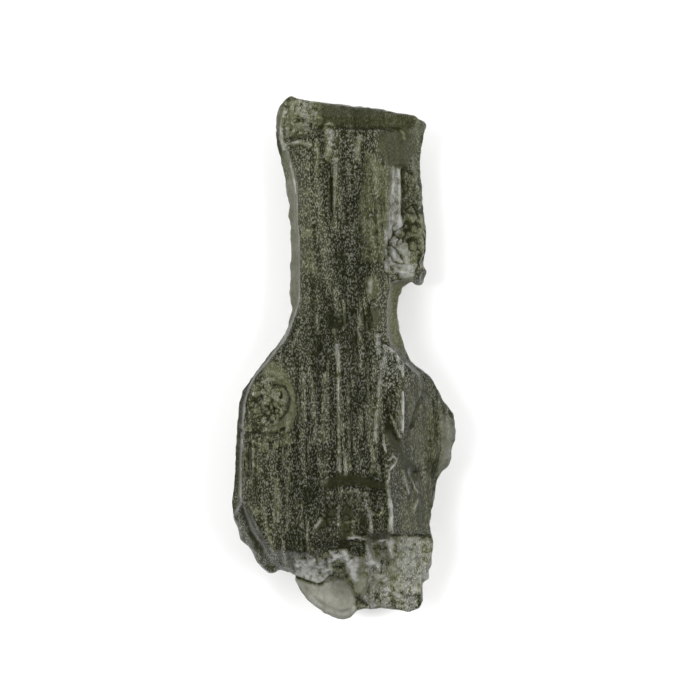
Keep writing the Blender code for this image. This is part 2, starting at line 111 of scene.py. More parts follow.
SHOULDER_LEFT = [
    (-8.12, -3.5), (-7.77, -2.58), (-7.08, -1.42), (-6.0, -0.08), (-5.0, 1.12), (-4.38, 2.23),
    (-4.12, 3.08),
]
NECK_LEFT = [
    (-3.92, 3.81), (-4.12, 4.5), (-4.12, 6.12), (-4.05, 8.27), (-4.15, 9.96), (-4.25, 11.12),
    (-4.21, 11.88), (-4.46, 12.65), (-4.55, 13.27),
]
LIP_LEFT = [(-4.54, 13.96), (-4.85, 15.12), (-5.15, 16.19), (-5.29, 16.96), (-5.23, 18.12), (-5.0, 19.19)]
OUTLINE_RUNS = [
    TOP_EDGE, TOP_RIGHT_CORNER, NECK_RIGHT, HOOK, NOTCH, WAIST_RIGHT, WING_UPPER, WING_LOWER, FOOT_RIGHT,
    BOTTOM_EDGE, LOBE_EDGE, FOOT_LEFT, BEVEL_LEFT, BODY_LEFT, SHOULDER_LEFT, NECK_LEFT, LIP_LEFT,
]

# Half the width in plan of every steep wall on the front.
WALL = 0.1

# The crest: inside it the stone stands at its full height, outside it are the thin margins.
CREST = [
    (-3.4, 22.9), (-4.0, 20.6), (-4.6, 18.9), (-4.8, 17.8), (-4.8, 16.7), (-4.5, 15.9), (-4.15, 14.9),
    (-3.85, 13.6), (-3.7, 12.4), (-3.7, 11.0), (-3.6, 9.8), (-3.5, 7.9), (-3.5, 6.0), (-3.55, 4.4),
    (-3.8, 3.4), (-4.3, 2.0), (-4.9, 1.0), (-5.9, -0.3), (-6.85, -1.35), (-7.4, -2.5), (-7.7, -3.5),
    (-7.85, -5.2), (-7.95, -7.5), (-8.0, -9.8), (-8.1, -11.2), (-8.6, -12.4), (-9.9, -14.5), (-9.9, -21.7),
    (7.6, -21.7), (7.6, -14.5), (6.7, -13.3), (6.65, -12.1), (6.8, -11.0), (6.9, -10.2), (7.15, -9.3),
    (7.4, -8.3), (7.45, -6.35), (7.4, -4.8), (6.6, -3.65), (6.25, -2.9), (6.1, -2.1), (5.85, -1.35),
    (5.15, -0.65), (4.6, -0.1), (4.1, 0.6), (3.6, 1.3), (3.5, 2.5), (3.55, 4.4), (3.7, 5.65), (4.45, 5.95),
    (5.2, 6.05), (5.9, 5.9), (6.1, 6.6), (6.0, 7.35), (6.1, 8.3), (6.1, 9.8), (5.95, 11.0), (5.8, 12.1),
    (5.6, 13.7), (5.4, 15.2), (5.45, 16.7), (5.6, 17.9), (5.85, 19.0), (6.2, 22.9),
]

# The scalloped hollow in the neck's right side.
SCAR = [
    (3.62, 14.6), (4.6, 14.7), (5.7, 13.9), (5.9, 12.1), (6.3, 9.8), (6.6, 7.35), (6.8, 5.4), (4.4, 5.4),
    (3.9, 6.3), (3.5, 6.8), (3.2, 7.3), (3.1, 8.1), (3.25, 9.4), (3.45, 11.0), (3.6, 12.9),
]
SCAR_FLOOR_LEFT = 4.7
SCAR_FLOOR_FALL = 0.5
SCAR_LUMPS = (0.7, 0.6, 0.22, 31)

# The lower break: a ledge, a thin lobe at the left of it and a stepped block at the right.
LOBE = [
    (-6.3, -18.65), (-4.55, -16.9), (-3.9, -16.85), (-3.4, -17.1), (-2.7, -17.2), (-2.3, -17.45),
    (-1.8, -17.5), (-1.55, -17.25), (-1.0, -16.9), (0.1, -17.2), (0.6, -17.9), (0.9, -18.65), (1.0, -21.7),
    (-6.3, -21.7),
]
LOBE_RIM_THICKNESS = 0.9
LOBE_THICKENING = 0.3
BLOCK = [
    (1.7, -13.8), (3.7, -13.6), (6.6, -13.8), (7.4, -14.4), (7.4, -18.65), (7.1, -21.7), (1.0, -21.7),
    (1.25, -19.1), (1.7, -17.9), (2.0, -16.5), (2.3, -15.3),
]
BLOCK_FLOOR = 4.0
BLOCK_FLOOR_FALL = 0.1
BLOCK_LUMPS = (0.9, 0.9, 0.12, 37)

# Heights along the stone, from the top of the neck to the foot: (y, front, rim level).
SPINE = [
    (21.0, 5.6, 3.0), (17.5, 5.8, 2.7), (9.0, 5.9, 2.6), (3.5, 6.4, 2.8), (0.0, 7.0, 3.1), (-8.0, 7.7, 3.3),
    (-14.0, 7.1, 3.2), (-17.5, 6.2, 2.9), (-21.0, 5.2, 2.5),
]
SPINE_EASING = 2.5
CREST_ROUNDING = 1.1
CREST_ROUNDING_REACH = 1.3
MARGIN_HALF_THICKNESS = 0.35
# The rim is thicker at the three broken ends: by how much, and where this sets in along and across.
TOP_RIM_EXTRA = 1.6
TOP_RIM_SPAN = (16.8, 18.6)
LEFT_FOOT_RIM_EXTRA = 0.8
LEFT_FOOT_RIM_SPAN = (11.5, 13.5)
LEFT_FOOT_RIM_SIDE = (4.4, 5.4)
BLOCK_RIM_EXTRA = 0.7
BLOCK_RIM_SPAN = (12.6, 14.2)
BLOCK_RIM_SIDE = (1.0, 2.2)
MARGIN_SLOPE = 0.8
MARGIN_REACH = 1.3
BACK_REACH = 5.0
BACK_RELIEF_REACH = 1.2
BACK_POWER = 1.7
BACK_SINK = 0.12
BACK_TILT = 0.035
BACK_TILT_SPAN = (-14.0, 4.0)
BACK_TILT_MIDDLE = -6.0
ROCKER_START = 8.0
ROCKER_MIDDLE = -3.0
ROCKER_RISE = 0.006
SOFT_CUT = 0.35

# Sloping breaks as (point on the upper line, downhill direction, slope, height at the line).
TOP_BREAK = ((0.5, 17.6), (0.08, 1.0), 0.5, 5.45)
UPPER_RIGHT_FACET = ((3.1, 16.0), (1.0, 0.25), 0.75, 5.55)
LEFT_BEVEL = ((-7.35, -12.6), (-0.86, -0.5), 1.6, 6.1)
LEFT_FOOT_BREAK = ((-5.0, -15.2), (-0.15, -1.0), 1.5, 5.9)
MIDDLE_BREAK = ((0.3, -14.6), (0.15, -1.0), 0.75, 6.3)
MIDDLE_BREAK_SIDES = (-1.9, 3.2)
BREAK_SIDE_SLOPE = 3.0

# The broad facet between the body's crest and its thin right wing: (y, x of its upper line).
WING_FACET_LINE = [
    (1.4, 3.7), (0.4, 4.45), (-1.0, 4.65), (-3.3, 4.6), (-5.6, 4.5), (-7.1, 4.3), (-9.4, 4.15),
    (-11.0, 4.0), (-14.0, 3.7),
]
WING_FACET_SLOPE = 1.05
WING_FACET_HEIGHT = 6.75
WING_FACET_END_SLOPE = 2.5

# Hollows as (centre x, centre y, half width, half length, depth).
TOP_CHIP = (-3.3, 18.5, 1.5, 1.45, 0.7)
LENS_HOLLOW = (3.8, -5.9, 0.5, 1.1, 0.2)
ARCH_HOLLOW = (0.9, -12.1, 2.6, 3.3, 0.45)
DARK_POCKET = (5.3, -8.9, 0.9, 0.9, 0.15)
SPOT_HOLLOWS = [(-0.2, 7.9, 0.5, 0.35, 0.12), (-0.45, 2.75, 0.55, 0.4, 0.12), (-1.85, 0.8, 0.45, 0.45, 0.12)]
HOOK_LUMP = (5.75, 6.25, 0.75, 0.65, 0.55)

# The open bubble on the left shoulder.
RING_CENTRE = (-5.85, -3.4)
RING_HALF_WIDTH = 2.05
RING_HALF_LENGTH = 2.55
RING_DEPTH = 0.5
RING_WALL = (0.55, 1.0)
RING_GROOVE_AT = 0.62
RING_GROOVE_HALF_WIDTH = 0.12
RING_GROOVE_DEPTH = 0.15
RING_MIDDLE = 0.6
RING_MIDDLE_REACH = 0.5

# Flow grooves down the front as (upper x, upper y, lower x, lower y, half width, depth).
FLOW_GROOVES = [
    (-2.0, 16.9, -1.9, 13.8, 0.28, 0.22), (-1.15, 17.4, -1.08, 14.7, 0.25, 0.18),
    (-0.6, 14.6, -0.46, 8.9, 0.3, 0.22), (1.15, 17.1, 1.25, 15.0, 0.3, 0.18),
    (-2.15, 13.3, -1.9, 7.3, 0.3, 0.2), (0.15, 16.7, 0.35, 9.4, 0.28, 0.16),
    (-0.85, 2.2, -0.1, -9.6, 0.32, 0.3), (2.6, 2.0, 3.6, -9.3, 0.38, 0.25),
    (-2.9, 2.1, -2.7, -4.8, 0.3, 0.22), (1.25, -0.2, 1.85, -8.6, 0.3, 0.2),
    (-6.9, -5.6, -6.6, -9.4, 0.28, 0.25), (-1.6, 9.0, -1.3, 3.6, 0.28, 0.2),
    (-2.55, -7.5, -2.0, -14.4, 0.32, 0.22), (-4.85, -6.3, -4.4, -14.4, 0.32, 0.2),
]
# The share of that depth that shows, and where the grooves fade towards their ends.
GROOVE_SHARE = 0.45
GROOVE_FADE = (0.08, 0.92)
# Shallow grooves on the hidden back, in the same form.
BACK_GROOVES = [
    (-1.6, 15.5, -1.2, 5.0, 0.5, 0.2), (1.9, 16.0, 2.3, 6.5, 0.5, 0.2),
    (-4.2, -1.5, -3.6, -12.0, 0.55, 0.22), (4.4, -2.5, 4.9, -12.5, 0.55, 0.22),
    (5.9, -4.0, 6.1, -10.0, 0.45, 0.18), (-6.3, -4.5, -6.0, -12.5, 0.5, 0.2),
]
BACK_PITS = [
    (-2.3, 17.2, 0.9, 0.8, 0.4), (3.9, 10.3, 1.0, 1.3, 0.4), (-5.2, -7.2, 1.1, 1.0, 0.4),
    (2.6, -16.0, 1.3, 1.0, 0.4),
]

# Broad unevenness: (cell across, cell along, height, seed).
SURFACE_LUMPS = [(2.1, 3.4, 0.16, 3), (0.9, 1.6, 0.09, 5)]
SURFACE_FLOW = (0.62, 4.5, 0.06, 11)
FLOW_TILT = 0.06
BACK_LUMPS = (1.7, 2.6, 0.1, 23)
# Where in its random table each kind of unevenness starts.
LUMPS_START = (20.0, 20.0)
FLOW_START = (40.0, 20.0)
BACK_START = (30.0, 30.0)
SCAR_START = (9.0, 9.0)
BLOCK_START = (12.0, 12.0)
SKIN_START = (90.0, 40.0)
NOISE_CELLS = 64
# Unevenness in space: the size of its table, where it starts, how places pick its rows, and a turn
# that keeps its cells from lining up with the stone.
SPACE_ROWS = 4096
SPACE_START = 500.0
SPACE_MIX = (73856093, 19349663, 83492791)
NOISE_TURN = np.array(mathutils.Euler((0.7, 0.5, 0.9)).to_matrix())

# How the skin looks, as (frost, haze, paleness): frost is its speckle, whose dots are painted glints, haze
# its blur, paleness its tint, which also carries painted highlights and shade.
CREST_SKIN = (0.54, 0.22, -0.01)
LOWER_CREST_SKIN = (0.46, 0.22, -0.03)
# How far below the middle the crest's skin turns into the lower one.
LOWER_CREST_SPAN = (0.0, 6.0)
CREST_SKIN_EDGE = (-0.12, 0.2)
MARGIN_SKIN = (0.3, 0.75, 0.1)
SIDE_SKIN = (0.4, 0.5, 0.02)
BACK_SKIN = (0.8, 0.6, 0.4)
# The upward leans between which the side's skin becomes the front's, and where the back's starts.
FRONT_LEAN = (0.02, 0.22)
BACK_LEAN = -0.1
# Places with another look, as (name, look, points of the edge). Later ones lie over earlier ones.
SKIN_PLACES = [
    ("wing facet", (0.34, 0.3, 0.03), [(4.9, -2.3), (6.2, -1.4), (7.8, -3.1), (8.8, -6.3), (8.3, -9.3),
        (7.4, -11.6), (7.4, -13.3), (4.5, -13.3), (4.3, -11.0), (6.2, -9.6), (6.3, -8.7), (5.1, -7.5),
        (4.7, -6.3)]),
    ("top bevel", (0.13, 0.35, 0.02), [(-2.0, 17.3), (0.1, 17.7), (2.6, 17.6), (4.5, 17.5), (5.5, 17.7),
        (6.2, 18.4), (6.2, 21.3), (-2.9, 21.3), (-2.9, 19.5), (-2.0, 18.9)]),
    ("chip", (0.6, 0.4, 0.07), [(-4.5, 19.5), (-3.4, 20.1), (-2.5, 19.7), (-2.0, 18.7), (-2.3, 17.7),
        (-3.2, 17.0), (-4.3, 17.2)]),
    ("upper right facet", (0.1, 0.35, 0.025), [(2.8, 17.3), (5.2, 17.7), (5.5, 16.0), (4.9, 14.4),
        (3.4, 14.7), (2.6, 16.0)]),
    ("top right strip", (0.3, 0.7, 0.04), [(5.5, 18.6), (6.5, 18.9), (6.5, 14.0), (5.8, 13.8),
        (5.5, 16.0)]),
    ("smooth neck band", (0.5, 0.35, 0.11), [(1.7, 16.0), (3.4, 14.4), (3.4, 9.0), (3.0, 7.3), (1.4, 7.3),
        (1.1, 10.6), (1.4, 13.7)]),
    # The scar wall's paleness is a painted highlight on the scar's left wall, which faces the lamps at the
    # right.
    ("scar wall", (0.8, 0.5, 0.27), [(3.6, 14.6), (4.5, 14.6), (4.5, 10.1), (3.9, 7.3), (3.2, 6.7),
        (3.2, 9.0), (3.5, 12.1)]),
    ("scar right", (0.35, 0.4, -0.1), [(4.8, 14.4), (6.2, 13.7), (6.5, 7.3), (5.1, 7.3), (4.5, 9.8)]),
    ("scar floor", (0.6, 0.4, 0.22), [(3.5, 9.7), (4.6, 10.0), (5.2, 7.3), (5.8, 6.3), (4.5, 6.0),
        (3.4, 6.6)]),
    ("hook", (0.35, 0.4, -0.3), [(5.5, 6.6), (6.6, 6.9), (6.6, 5.2), (5.4, 5.2)]),
    ("neck flange", (0.2, 0.8, 0.22), [(-4.9, 13.7), (-3.8, 13.7), (-3.6, 10.6), (-3.6, 6.7), (-3.9, 3.5),
        (-4.9, 3.5)]),
    ("notch strip", (0.3, 0.6, 0.11), [(3.6, 5.7), (5.2, 6.1), (4.6, 4.4), (4.6, 1.0), (4.3, 0.4),
        (3.7, 0.9), (3.4, 3.7)]),
    ("right margin", (0.4, 0.75, 0.02), [(4.5, 0.8), (5.2, 0.4), (7.8, -1.6), (8.9, -4.8), (9.7, -8.0),
        (7.4, -9.4), (8.2, -7.5), (7.8, -4.8), (6.6, -2.7), (5.1, -0.8)]),
    ("wing tip", (0.3, 0.85, 0.2), [(7.5, -4.2), (8.6, -4.8), (9.1, -6.7), (8.0, -8.7), (7.1, -9.3),
        (7.7, -7.1)]),
    ("spot left", (0.15, 0.25, -0.05), [(-2.2, 1.1), (-1.8, 1.2), (-1.6, 0.6), (-2.1, 0.4)]),
    ("spot right", (0.1, 0.25, -0.05), [(0.5, 1.7), (1.1, 1.8), (1.3, 1.3), (0.7, 1.1)]),
    ("neck lump", (0.4, 0.5, 0.1), [(1.8, 6.2), (2.3, 6.4), (2.7, 5.9), (2.6, 4.8), (2.2, 4.3),
        (1.7, 5.0)]),
    ("brown hollow", (0.05, 0.3, -0.04), [(1.7, 3.7), (2.6, 3.8), (2.9, 3.0), (2.5, 2.3), (1.8, 2.3)]),
    ("frosted tongue", (0.76, 0.4, -0.03), [(2.4, 1.6), (2.8, 1.4), (3.5, 0.6), (4.1, -0.5), (4.2, -1.7),
        (3.8, -2.7), (2.8, -2.0), (2.5, -0.3)]),
    # The crescent's paleness is painted light on the bubble's wall where it faces the light.
    ("ring crescent", (0.35, 0.5, 0.16), [(-6.1, -0.2), (-5.4, -0.3), (-4.7, -0.8), (-4.2, -1.6),
        (-3.9, -2.3), (-3.6, -3.4), (-3.6, -4.3), (-3.9, -5.3), (-4.4, -5.7), (-4.8, -5.3), (-4.6, -4.5),
        (-4.5, -3.7), (-4.8, -2.7), (-5.1, -1.9), (-5.5, -1.3), (-6.2, -0.9)]),
    ("left margin", (0.12, 0.8, 0.0), [(-9.2, -12.5), (-8.2, -12.5), (-8.0, -7.9), (-7.8, -4.0),
        (-7.2, -2.3), (-6.0, -0.7), (-4.6, 1.0), (-5.7, 1.0), (-9.2, -3.3)]),
    ("lens", (0.03, 0.35, 0.0), [(3.2, -4.8), (3.5, -4.8), (3.9, -5.6), (4.4, -6.3), (4.5, -7.0),
        (4.9, -7.7), (4.5, -7.7), (3.8, -7.0), (3.4, -6.4), (3.2, -5.9)]),
    ("dark patch", (0.1, 0.25, -0.14), [(4.5, -7.5), (5.0, -7.7), (5.5, -8.3), (6.0, -8.7), (5.8, -9.4),
        (4.9, -9.4), (4.5, -8.7), (4.2, -7.9)]),
    ("arch", (0.05, 0.25, 0.03), [(-1.8, -9.8), (-1.2, -9.2), (-0.4, -8.9), (0.5, -8.8), (1.2, -8.9),
        (1.9, -9.1), (2.6, -9.4), (3.4, -9.8), (3.3, -10.0), (2.5, -10.0), (1.7, -9.9), (0.8, -9.7),
        (0.1, -9.7), (-0.6, -9.9), (-1.2, -10.0)]),
    ("dark a", (0.15, 0.25, -0.1), [(-3.2, -9.9), (-2.3, -9.6), (-2.3, -11.0), (-3.1, -11.3)]),
    ("dark b", (0.1, 0.25, 0.0), [(-1.5, -12.0), (-0.8, -11.2), (-0.5, -11.8), (-1.2, -12.7), (-1.8, -13.4),
        (-2.3, -13.1)]),
    ("dark c", (0.1, 0.25, 0.0), [(-0.2, -11.0), (0.5, -11.1), (0.8, -12.0), (0.6, -13.0), (0.5, -14.7),
        (-0.3, -14.7), (-0.2, -13.3)]),
    ("dark d", (0.12, 0.25, -0.05), [(1.1, -11.7), (1.7, -11.9), (2.0, -13.1), (1.2, -13.3)]),
    ("spot 1", (0.05, 0.25, -0.08), [(-0.9, 8.0), (-0.3, 8.2), (0.3, 7.8), (0.2, 7.5), (-0.5, 7.5),
        (-0.9, 7.7)]),
    ("spot 2", (0.05, 0.25, -0.08), [(-1.3, 3.1), (-0.6, 3.3), (0.2, 3.0), (0.1, 2.3), (-0.8, 2.1),
        (-1.3, 2.5)]),
    ("left foot bevel", (0.45, 0.35, -0.02), [(-8.9, -10.2), (-8.0, -12.5), (-6.3, -16.0), (-5.2, -17.1),
        (-4.2, -16.8), (-3.7, -15.6), (-5.3, -14.4), (-6.8, -12.5), (-7.5, -11.0)]),
    ("frosty ledge", (0.85, 0.6, 0.6), [(-3.8, -15.6), (-2.0, -15.3), (-0.8, -16.0), (-1.1, -17.1),
        (-2.0, -17.6), (-3.7, -16.8)]),
    ("lobe", (0.25, 0.68, 0.4), [(-6.3, -18.7), (-4.5, -16.9), (-3.9, -16.8), (-3.4, -17.1), (-2.3, -17.3),
        (-1.8, -17.6), (-1.5, -17.3), (-1.0, -16.9), (0.1, -17.2), (0.6, -17.9), (0.9, -18.7), (1.0, -21.7),
        (-6.3, -21.7)]),
    ("olive band", (0.2, 0.5, 0.28), [(0.9, -15.3), (1.5, -15.3), (1.8, -17.1), (1.7, -18.5),
        (0.8, -18.0)]),
    ("wedge", (0.6, 0.9, 0.72), [(0.2, -15.6), (1.1, -15.3), (1.1, -16.0), (0.8, -17.0), (0.3, -16.5)]),
    ("white patch 1", (1.0, 0.8, 0.58), [(-1.1, -14.8), (0.2, -14.7), (0.2, -15.4), (-0.6, -15.6)]),
    ("white patch 2", (1.0, 0.8, 0.75), [(2.0, -15.3), (3.2, -14.7), (3.4, -15.3), (2.5, -16.2)]),
    ("block floor", (0.75, 0.5, 0.22), [(1.7, -13.9), (3.7, -13.7), (6.9, -13.9), (7.1, -15.6),
        (6.6, -18.2), (2.0, -18.2), (1.7, -17.1)]),
    ("foot facet", (0.75, 0.5, 0.07), [(1.4, -18.3), (2.8, -18.0), (4.3, -18.0), (6.2, -18.3), (6.3, -19.9),
        (1.2, -19.9)]),
]
PLACE_EDGE = 0.16
# Lumpy places as (name, cell, height, how much painted shade darkens the creases between lumps, points of
# the edge).
LUMPY_PLACES = [
    ("ring", 0.34, 0.2, 0.75, [(-4.5, -3.6), (-4.7, -4.4), (-5.2, -5.0), (-5.8, -5.2), (-6.5, -5.0),
        (-7.0, -4.4), (-7.2, -3.6), (-7.0, -2.8), (-6.5, -2.2), (-5.8, -2.0), (-5.2, -2.2), (-4.7, -2.8)]),
    ("scar", 0.5, 0.28, 0.75, [(3.4, 10.0), (4.6, 10.6), (5.2, 11.7), (6.3, 11.7), (6.5, 7.3), (5.7, 6.3),
        (4.3, 6.0), (3.2, 6.9)]),
    ("scar top", 0.42, 0.18, 0.5, [(4.5, 14.4), (6.2, 13.8), (6.4, 11.7), (5.2, 11.7), (4.5, 10.7)]),
    ("block floor", 0.5, 0.08, 0.25, [(1.7, -13.9), (6.9, -13.9), (7.1, -15.6), (6.6, -18.2), (1.5, -18.2),
        (1.4, -15.6)]),
    ("foot facet", 0.4, 0.07, 0.25, [(1.2, -18.2), (6.3, -18.0), (6.5, -20.0), (1.1, -20.0)]),
    ("frosty ledge", 0.32, 0.12, 0.45, [(-4.0, -15.3), (-2.0, -15.0), (0.2, -14.8), (1.2, -15.3),
        (1.1, -17.3), (-0.8, -17.4), (-2.0, -17.6), (-3.8, -17.0)]),
    ("chip", 0.36, 0.09, 0.4, [(-4.6, 19.5), (-3.2, 20.3), (-1.7, 19.5), (-1.7, 17.8), (-3.1, 16.9),
        (-4.6, 17.0)]),
    ("below ring", 0.4, 0.14, 0.4, [(-8.2, -5.1), (-4.2, -5.4), (-3.8, -6.5), (-5.7, -7.1), (-8.0, -7.0)]),
    ("below arch", 0.5, 0.04, 0.15, [(-2.0, -10.4), (3.4, -10.4), (4.0, -13.7), (-2.5, -14.0)]),
]
# How wide the creases are, and the level where the painted shade in the creases turns to painted light on
# the lumps.
LUMP_CREASE = 0.22
LUMP_EVEN = 0.35
LUMP_FIRST_SEED = 201
# The band between the bubble's groove and its right edge, which gets painted light as the wall that faces
# the lamps, and the lumps inside it.
RING_BAND = (0.62, 1.0)
RING_BAND_EDGE = 0.05
RING_BAND_FADE = 0.4
RING_LUMP_FADE = 0.1
RING_BAND_PAINTED_LIGHT_SKIN = (0.3, 0.5, 0.12)
RING_LUMP_SKIN = (0.35, 0.4, -0.09)

# Cracks, folds and creases as (points of the line, half width, height, change of paleness); the fall in
# paleness is painted shade in them.
CREASES = [
    ([(-2.38, 17.65), (-1.08, 17.77), (0.08, 17.65), (1.38, 17.58), (2.77, 17.65),
        (4.31, 17.5)], 0.11, -0.12, -0.4),
    ([(-2.77, 17.12), (-3.38, 16.96), (-4.31, 16.65)], 0.14, -0.22, -0.4),
    ([(3.46, 9.04), (3.54, 7.96), (3.23, 7.5), (3.46, 7.19), (3.92, 7.04),
        (4.38, 6.81)], 0.12, -0.25, -0.4),
    ([(4.77, 8.96), (5.23, 9.19), (5.62, 9.04), (5.85, 8.58)], 0.14, -0.25, -0.4),
    ([(4.0, 9.27), (4.31, 9.5), (4.62, 9.27)], 0.12, -0.2, -0.4),
    ([(4.85, 11.42), (5.23, 11.19), (5.54, 11.12)], 0.12, -0.2, -0.4),
    ([(4.54, 14.42), (4.62, 12.88), (4.54, 11.04)], 0.12, -0.2, -0.4),
    ([(3.0, 1.19), (3.69, 0.92), (4.31, 0.27), (4.69, -0.27)], 0.11, -0.2, -0.4),
    ([(-6.69, -5.35), (-6.15, -5.88), (-5.69, -5.58), (-5.23, -5.73), (-4.62, -5.35)], 0.14, -0.22, -0.4),
    ([(-8.0, -5.58), (-7.38, -5.88), (-6.77, -5.65)], 0.12, -0.15, -0.4),
    ([(-5.31, -2.12), (-4.54, -2.27), (-4.23, -3.12), (-4.38, -4.04), (-5.0, -4.65)], 0.12, -0.12, -0.4),
    ([(-8.0, -10.96), (-7.23, -13.27), (-6.31, -14.65)], 0.19, -0.12, -0.4),
    ([(6.23, -2.58), (5.69, -3.65), (5.23, -5.19)], 0.12, -0.12, -0.4),
    ([(0.92, -13.65), (2.0, -13.58), (3.38, -13.5), (4.31, -13.73), (6.31, -13.73)], 0.12, -0.18, -0.45),
    ([(-3.92, -16.88), (-3.15, -17.19), (-2.23, -17.5), (-1.69, -17.5),
        (-1.0, -16.88)], 0.12, -0.15, -0.55),
    ([(0.52, -14.04), (1.23, -14.19), (1.92, -14.08)], 0.09, -0.15, -0.5),
    ([(4.62, -6.35), (5.23, -5.19), (5.85, -4.35)], 0.09, -0.08, -0.3),
    ([(-7.85, -11.5), (-7.08, -13.27), (-6.31, -14.96)], 0.27, -0.02, -0.3),
    ([(-7.77, -10.96), (-7.23, -12.12), (-6.46, -13.5), (-5.69, -14.81)], 0.15, -0.05, -0.3),
]
# Edges, ribs and streaks, in the same form; their rise in paleness is a painted highlight along them.
RIBS = [
    ([(-4.54, 18.88), (-4.81, 17.88), (-4.88, 16.88), (-4.62, 16.04)], 0.09, 0.1, 0.8),
    ([(-4.15, 14.96), (-3.92, 14.04), (-3.73, 13.19), (-3.69, 12.65)], 0.07, 0.05, 0.75),
    ([(-4.31, 16.42), (-3.46, 16.54), (-2.62, 16.27)], 0.15, 0.16, 0.5),
    ([(-1.46, 17.65), (-1.15, 17.96), (-0.69, 17.73)], 0.11, 0.1, 0.5),
    ([(4.31, 17.5), (4.62, 17.27), (4.69, 16.88)], 0.06, 0.06, 0.35),
    ([(3.15, 0.92), (3.62, 0.65), (4.15, 0.04), (4.31, -0.81)], 0.09, 0.12, 0.9),
    ([(4.46, -8.65), (4.69, -9.42), (4.92, -10.35)], 0.12, 0.12, 0.5),
    ([(2.08, -14.04), (2.62, -13.81), (3.15, -13.88), (3.62, -14.19)], 0.17, 0.25, 0.5),
    ([(3.46, -14.04), (3.65, -14.65), (3.69, -15.42)], 0.22, 0.3, 0.5),
    ([(-1.08, -15.58), (-0.54, -15.19), (0.15, -15.04)], 0.19, 0.25, 1.1),
    ([(0.23, -15.42), (0.62, -16.19), (0.92, -17.04)], 0.23, 0.2, 0.9),
    ([(1.92, -15.58), (2.31, -15.81), (2.62, -16.12)], 0.25, 0.3, 1.1),
    ([(4.15, 6.5), (4.69, 6.54), (5.31, 6.35)], 0.14, 0.2, 0.5),
    ([(3.77, 14.58), (3.77, 12.12), (3.62, 9.96)], 0.14, 0.12, 0.5),
    ([(3.15, -17.88), (3.54, -17.96), (4.31, -18.42)], 0.15, 0.2, 0.5),
    ([(3.54, -10.96), (3.62, -12.5), (3.69, -13.42)], 0.14, 0.15, 0.5),
    ([(-7.0, -2.88), (-6.77, -2.19), (-6.15, -1.73), (-5.38, -1.65)], 0.09, 0.08, 0.25),
    ([(-7.38, -3.5), (-7.23, -4.42), (-6.69, -4.96)], 0.08, 0.05, 0.15),
    ([(-4.15, -8.65), (-4.62, -8.04), (-4.15, -6.96)], 0.09, 0.08, 0.25),
    ([(-6.15, -11.35), (-5.85, -13.27), (-5.31, -14.96)], 0.1, 0.1, 0.22),
    ([(-0.62, 15.19), (-0.69, 12.12), (-0.77, 9.96)], 0.15, 0.06, 0.28),
    ([(-0.46, 0.96), (-0.38, -1.73), (-0.35, -5.58), (-0.35, -8.65)], 0.11, 0.1, 0.55),
    ([(0.08, -7.27), (0.15, -8.04), (0.19, -8.88)], 0.09, 0.06, 0.5),
    ([(3.15, 0.88), (3.0, -0.96), (2.69, -2.12), (2.46, -4.81), (2.31, -7.12),
        (2.15, -8.65)], 0.2, 0.06, 0.3),
    ([(2.85, -0.19), (2.62, -3.27), (2.38, -6.35)], 0.1, 0.06, 0.35),
    ([(4.52, -2.65), (4.55, -4.04), (4.51, -5.65)], 0.07, 0.12, 1.5),
    ([(3.62, -4.27), (3.92, -5.12), (4.31, -6.04)], 0.09, 0.06, 0.4),
    ([(3.04, -5.88), (3.08, -6.58), (3.23, -7.19)], 0.08, 0.08, 0.8),
    ([(3.46, -7.81), (3.77, -7.5), (4.04, -7.81), (3.77, -8.27), (3.46, -8.58),
        (3.46, -9.27)], 0.07, 0.12, 0.9),
    ([(3.31, -9.42), (3.46, -10.5), (3.54, -11.27)], 0.12, 0.1, 0.45),
    ([(3.54, -11.27), (3.62, -12.19), (3.46, -13.19)], 0.08, 0.12, 0.7),
    ([(1.65, -10.88), (1.77, -11.42), (2.0, -11.81), (2.15, -12.81), (2.15, -13.35)], 0.09, 0.1, 0.55),
    ([(-0.92, -10.35), (0.08, -10.19), (0.92, -10.27), (1.85, -10.42)], 0.12, 0.08, 0.25),
    ([(2.15, -11.88), (2.77, -12.04), (3.08, -11.73)], 0.09, 0.1, 0.35),
    ([(0.38, -13.81), (0.89, -13.69), (1.65, -13.85), (2.15, -14.01), (2.77, -13.81),
        (3.46, -13.69)], 0.09, 0.2, 0.8),
    ([(3.38, -14.19), (3.54, -14.73), (3.73, -15.35)], 0.11, 0.25, 0.9),
    ([(4.92, -8.65), (5.23, -9.58), (5.62, -10.35)], 0.1, 0.08, 0.35),
    ([(1.31, 16.88), (1.08, 15.96), (1.04, 15.19)], 0.17, 0.06, 0.3),
    ([(-0.73, 2.19), (-0.58, 0.96), (-0.46, -0.96)], 0.1, 0.06, 0.35),
    ([(-0.69, 4.5), (-0.15, 4.19), (-0.08, 3.58)], 0.2, 0.03, 0.12),
]
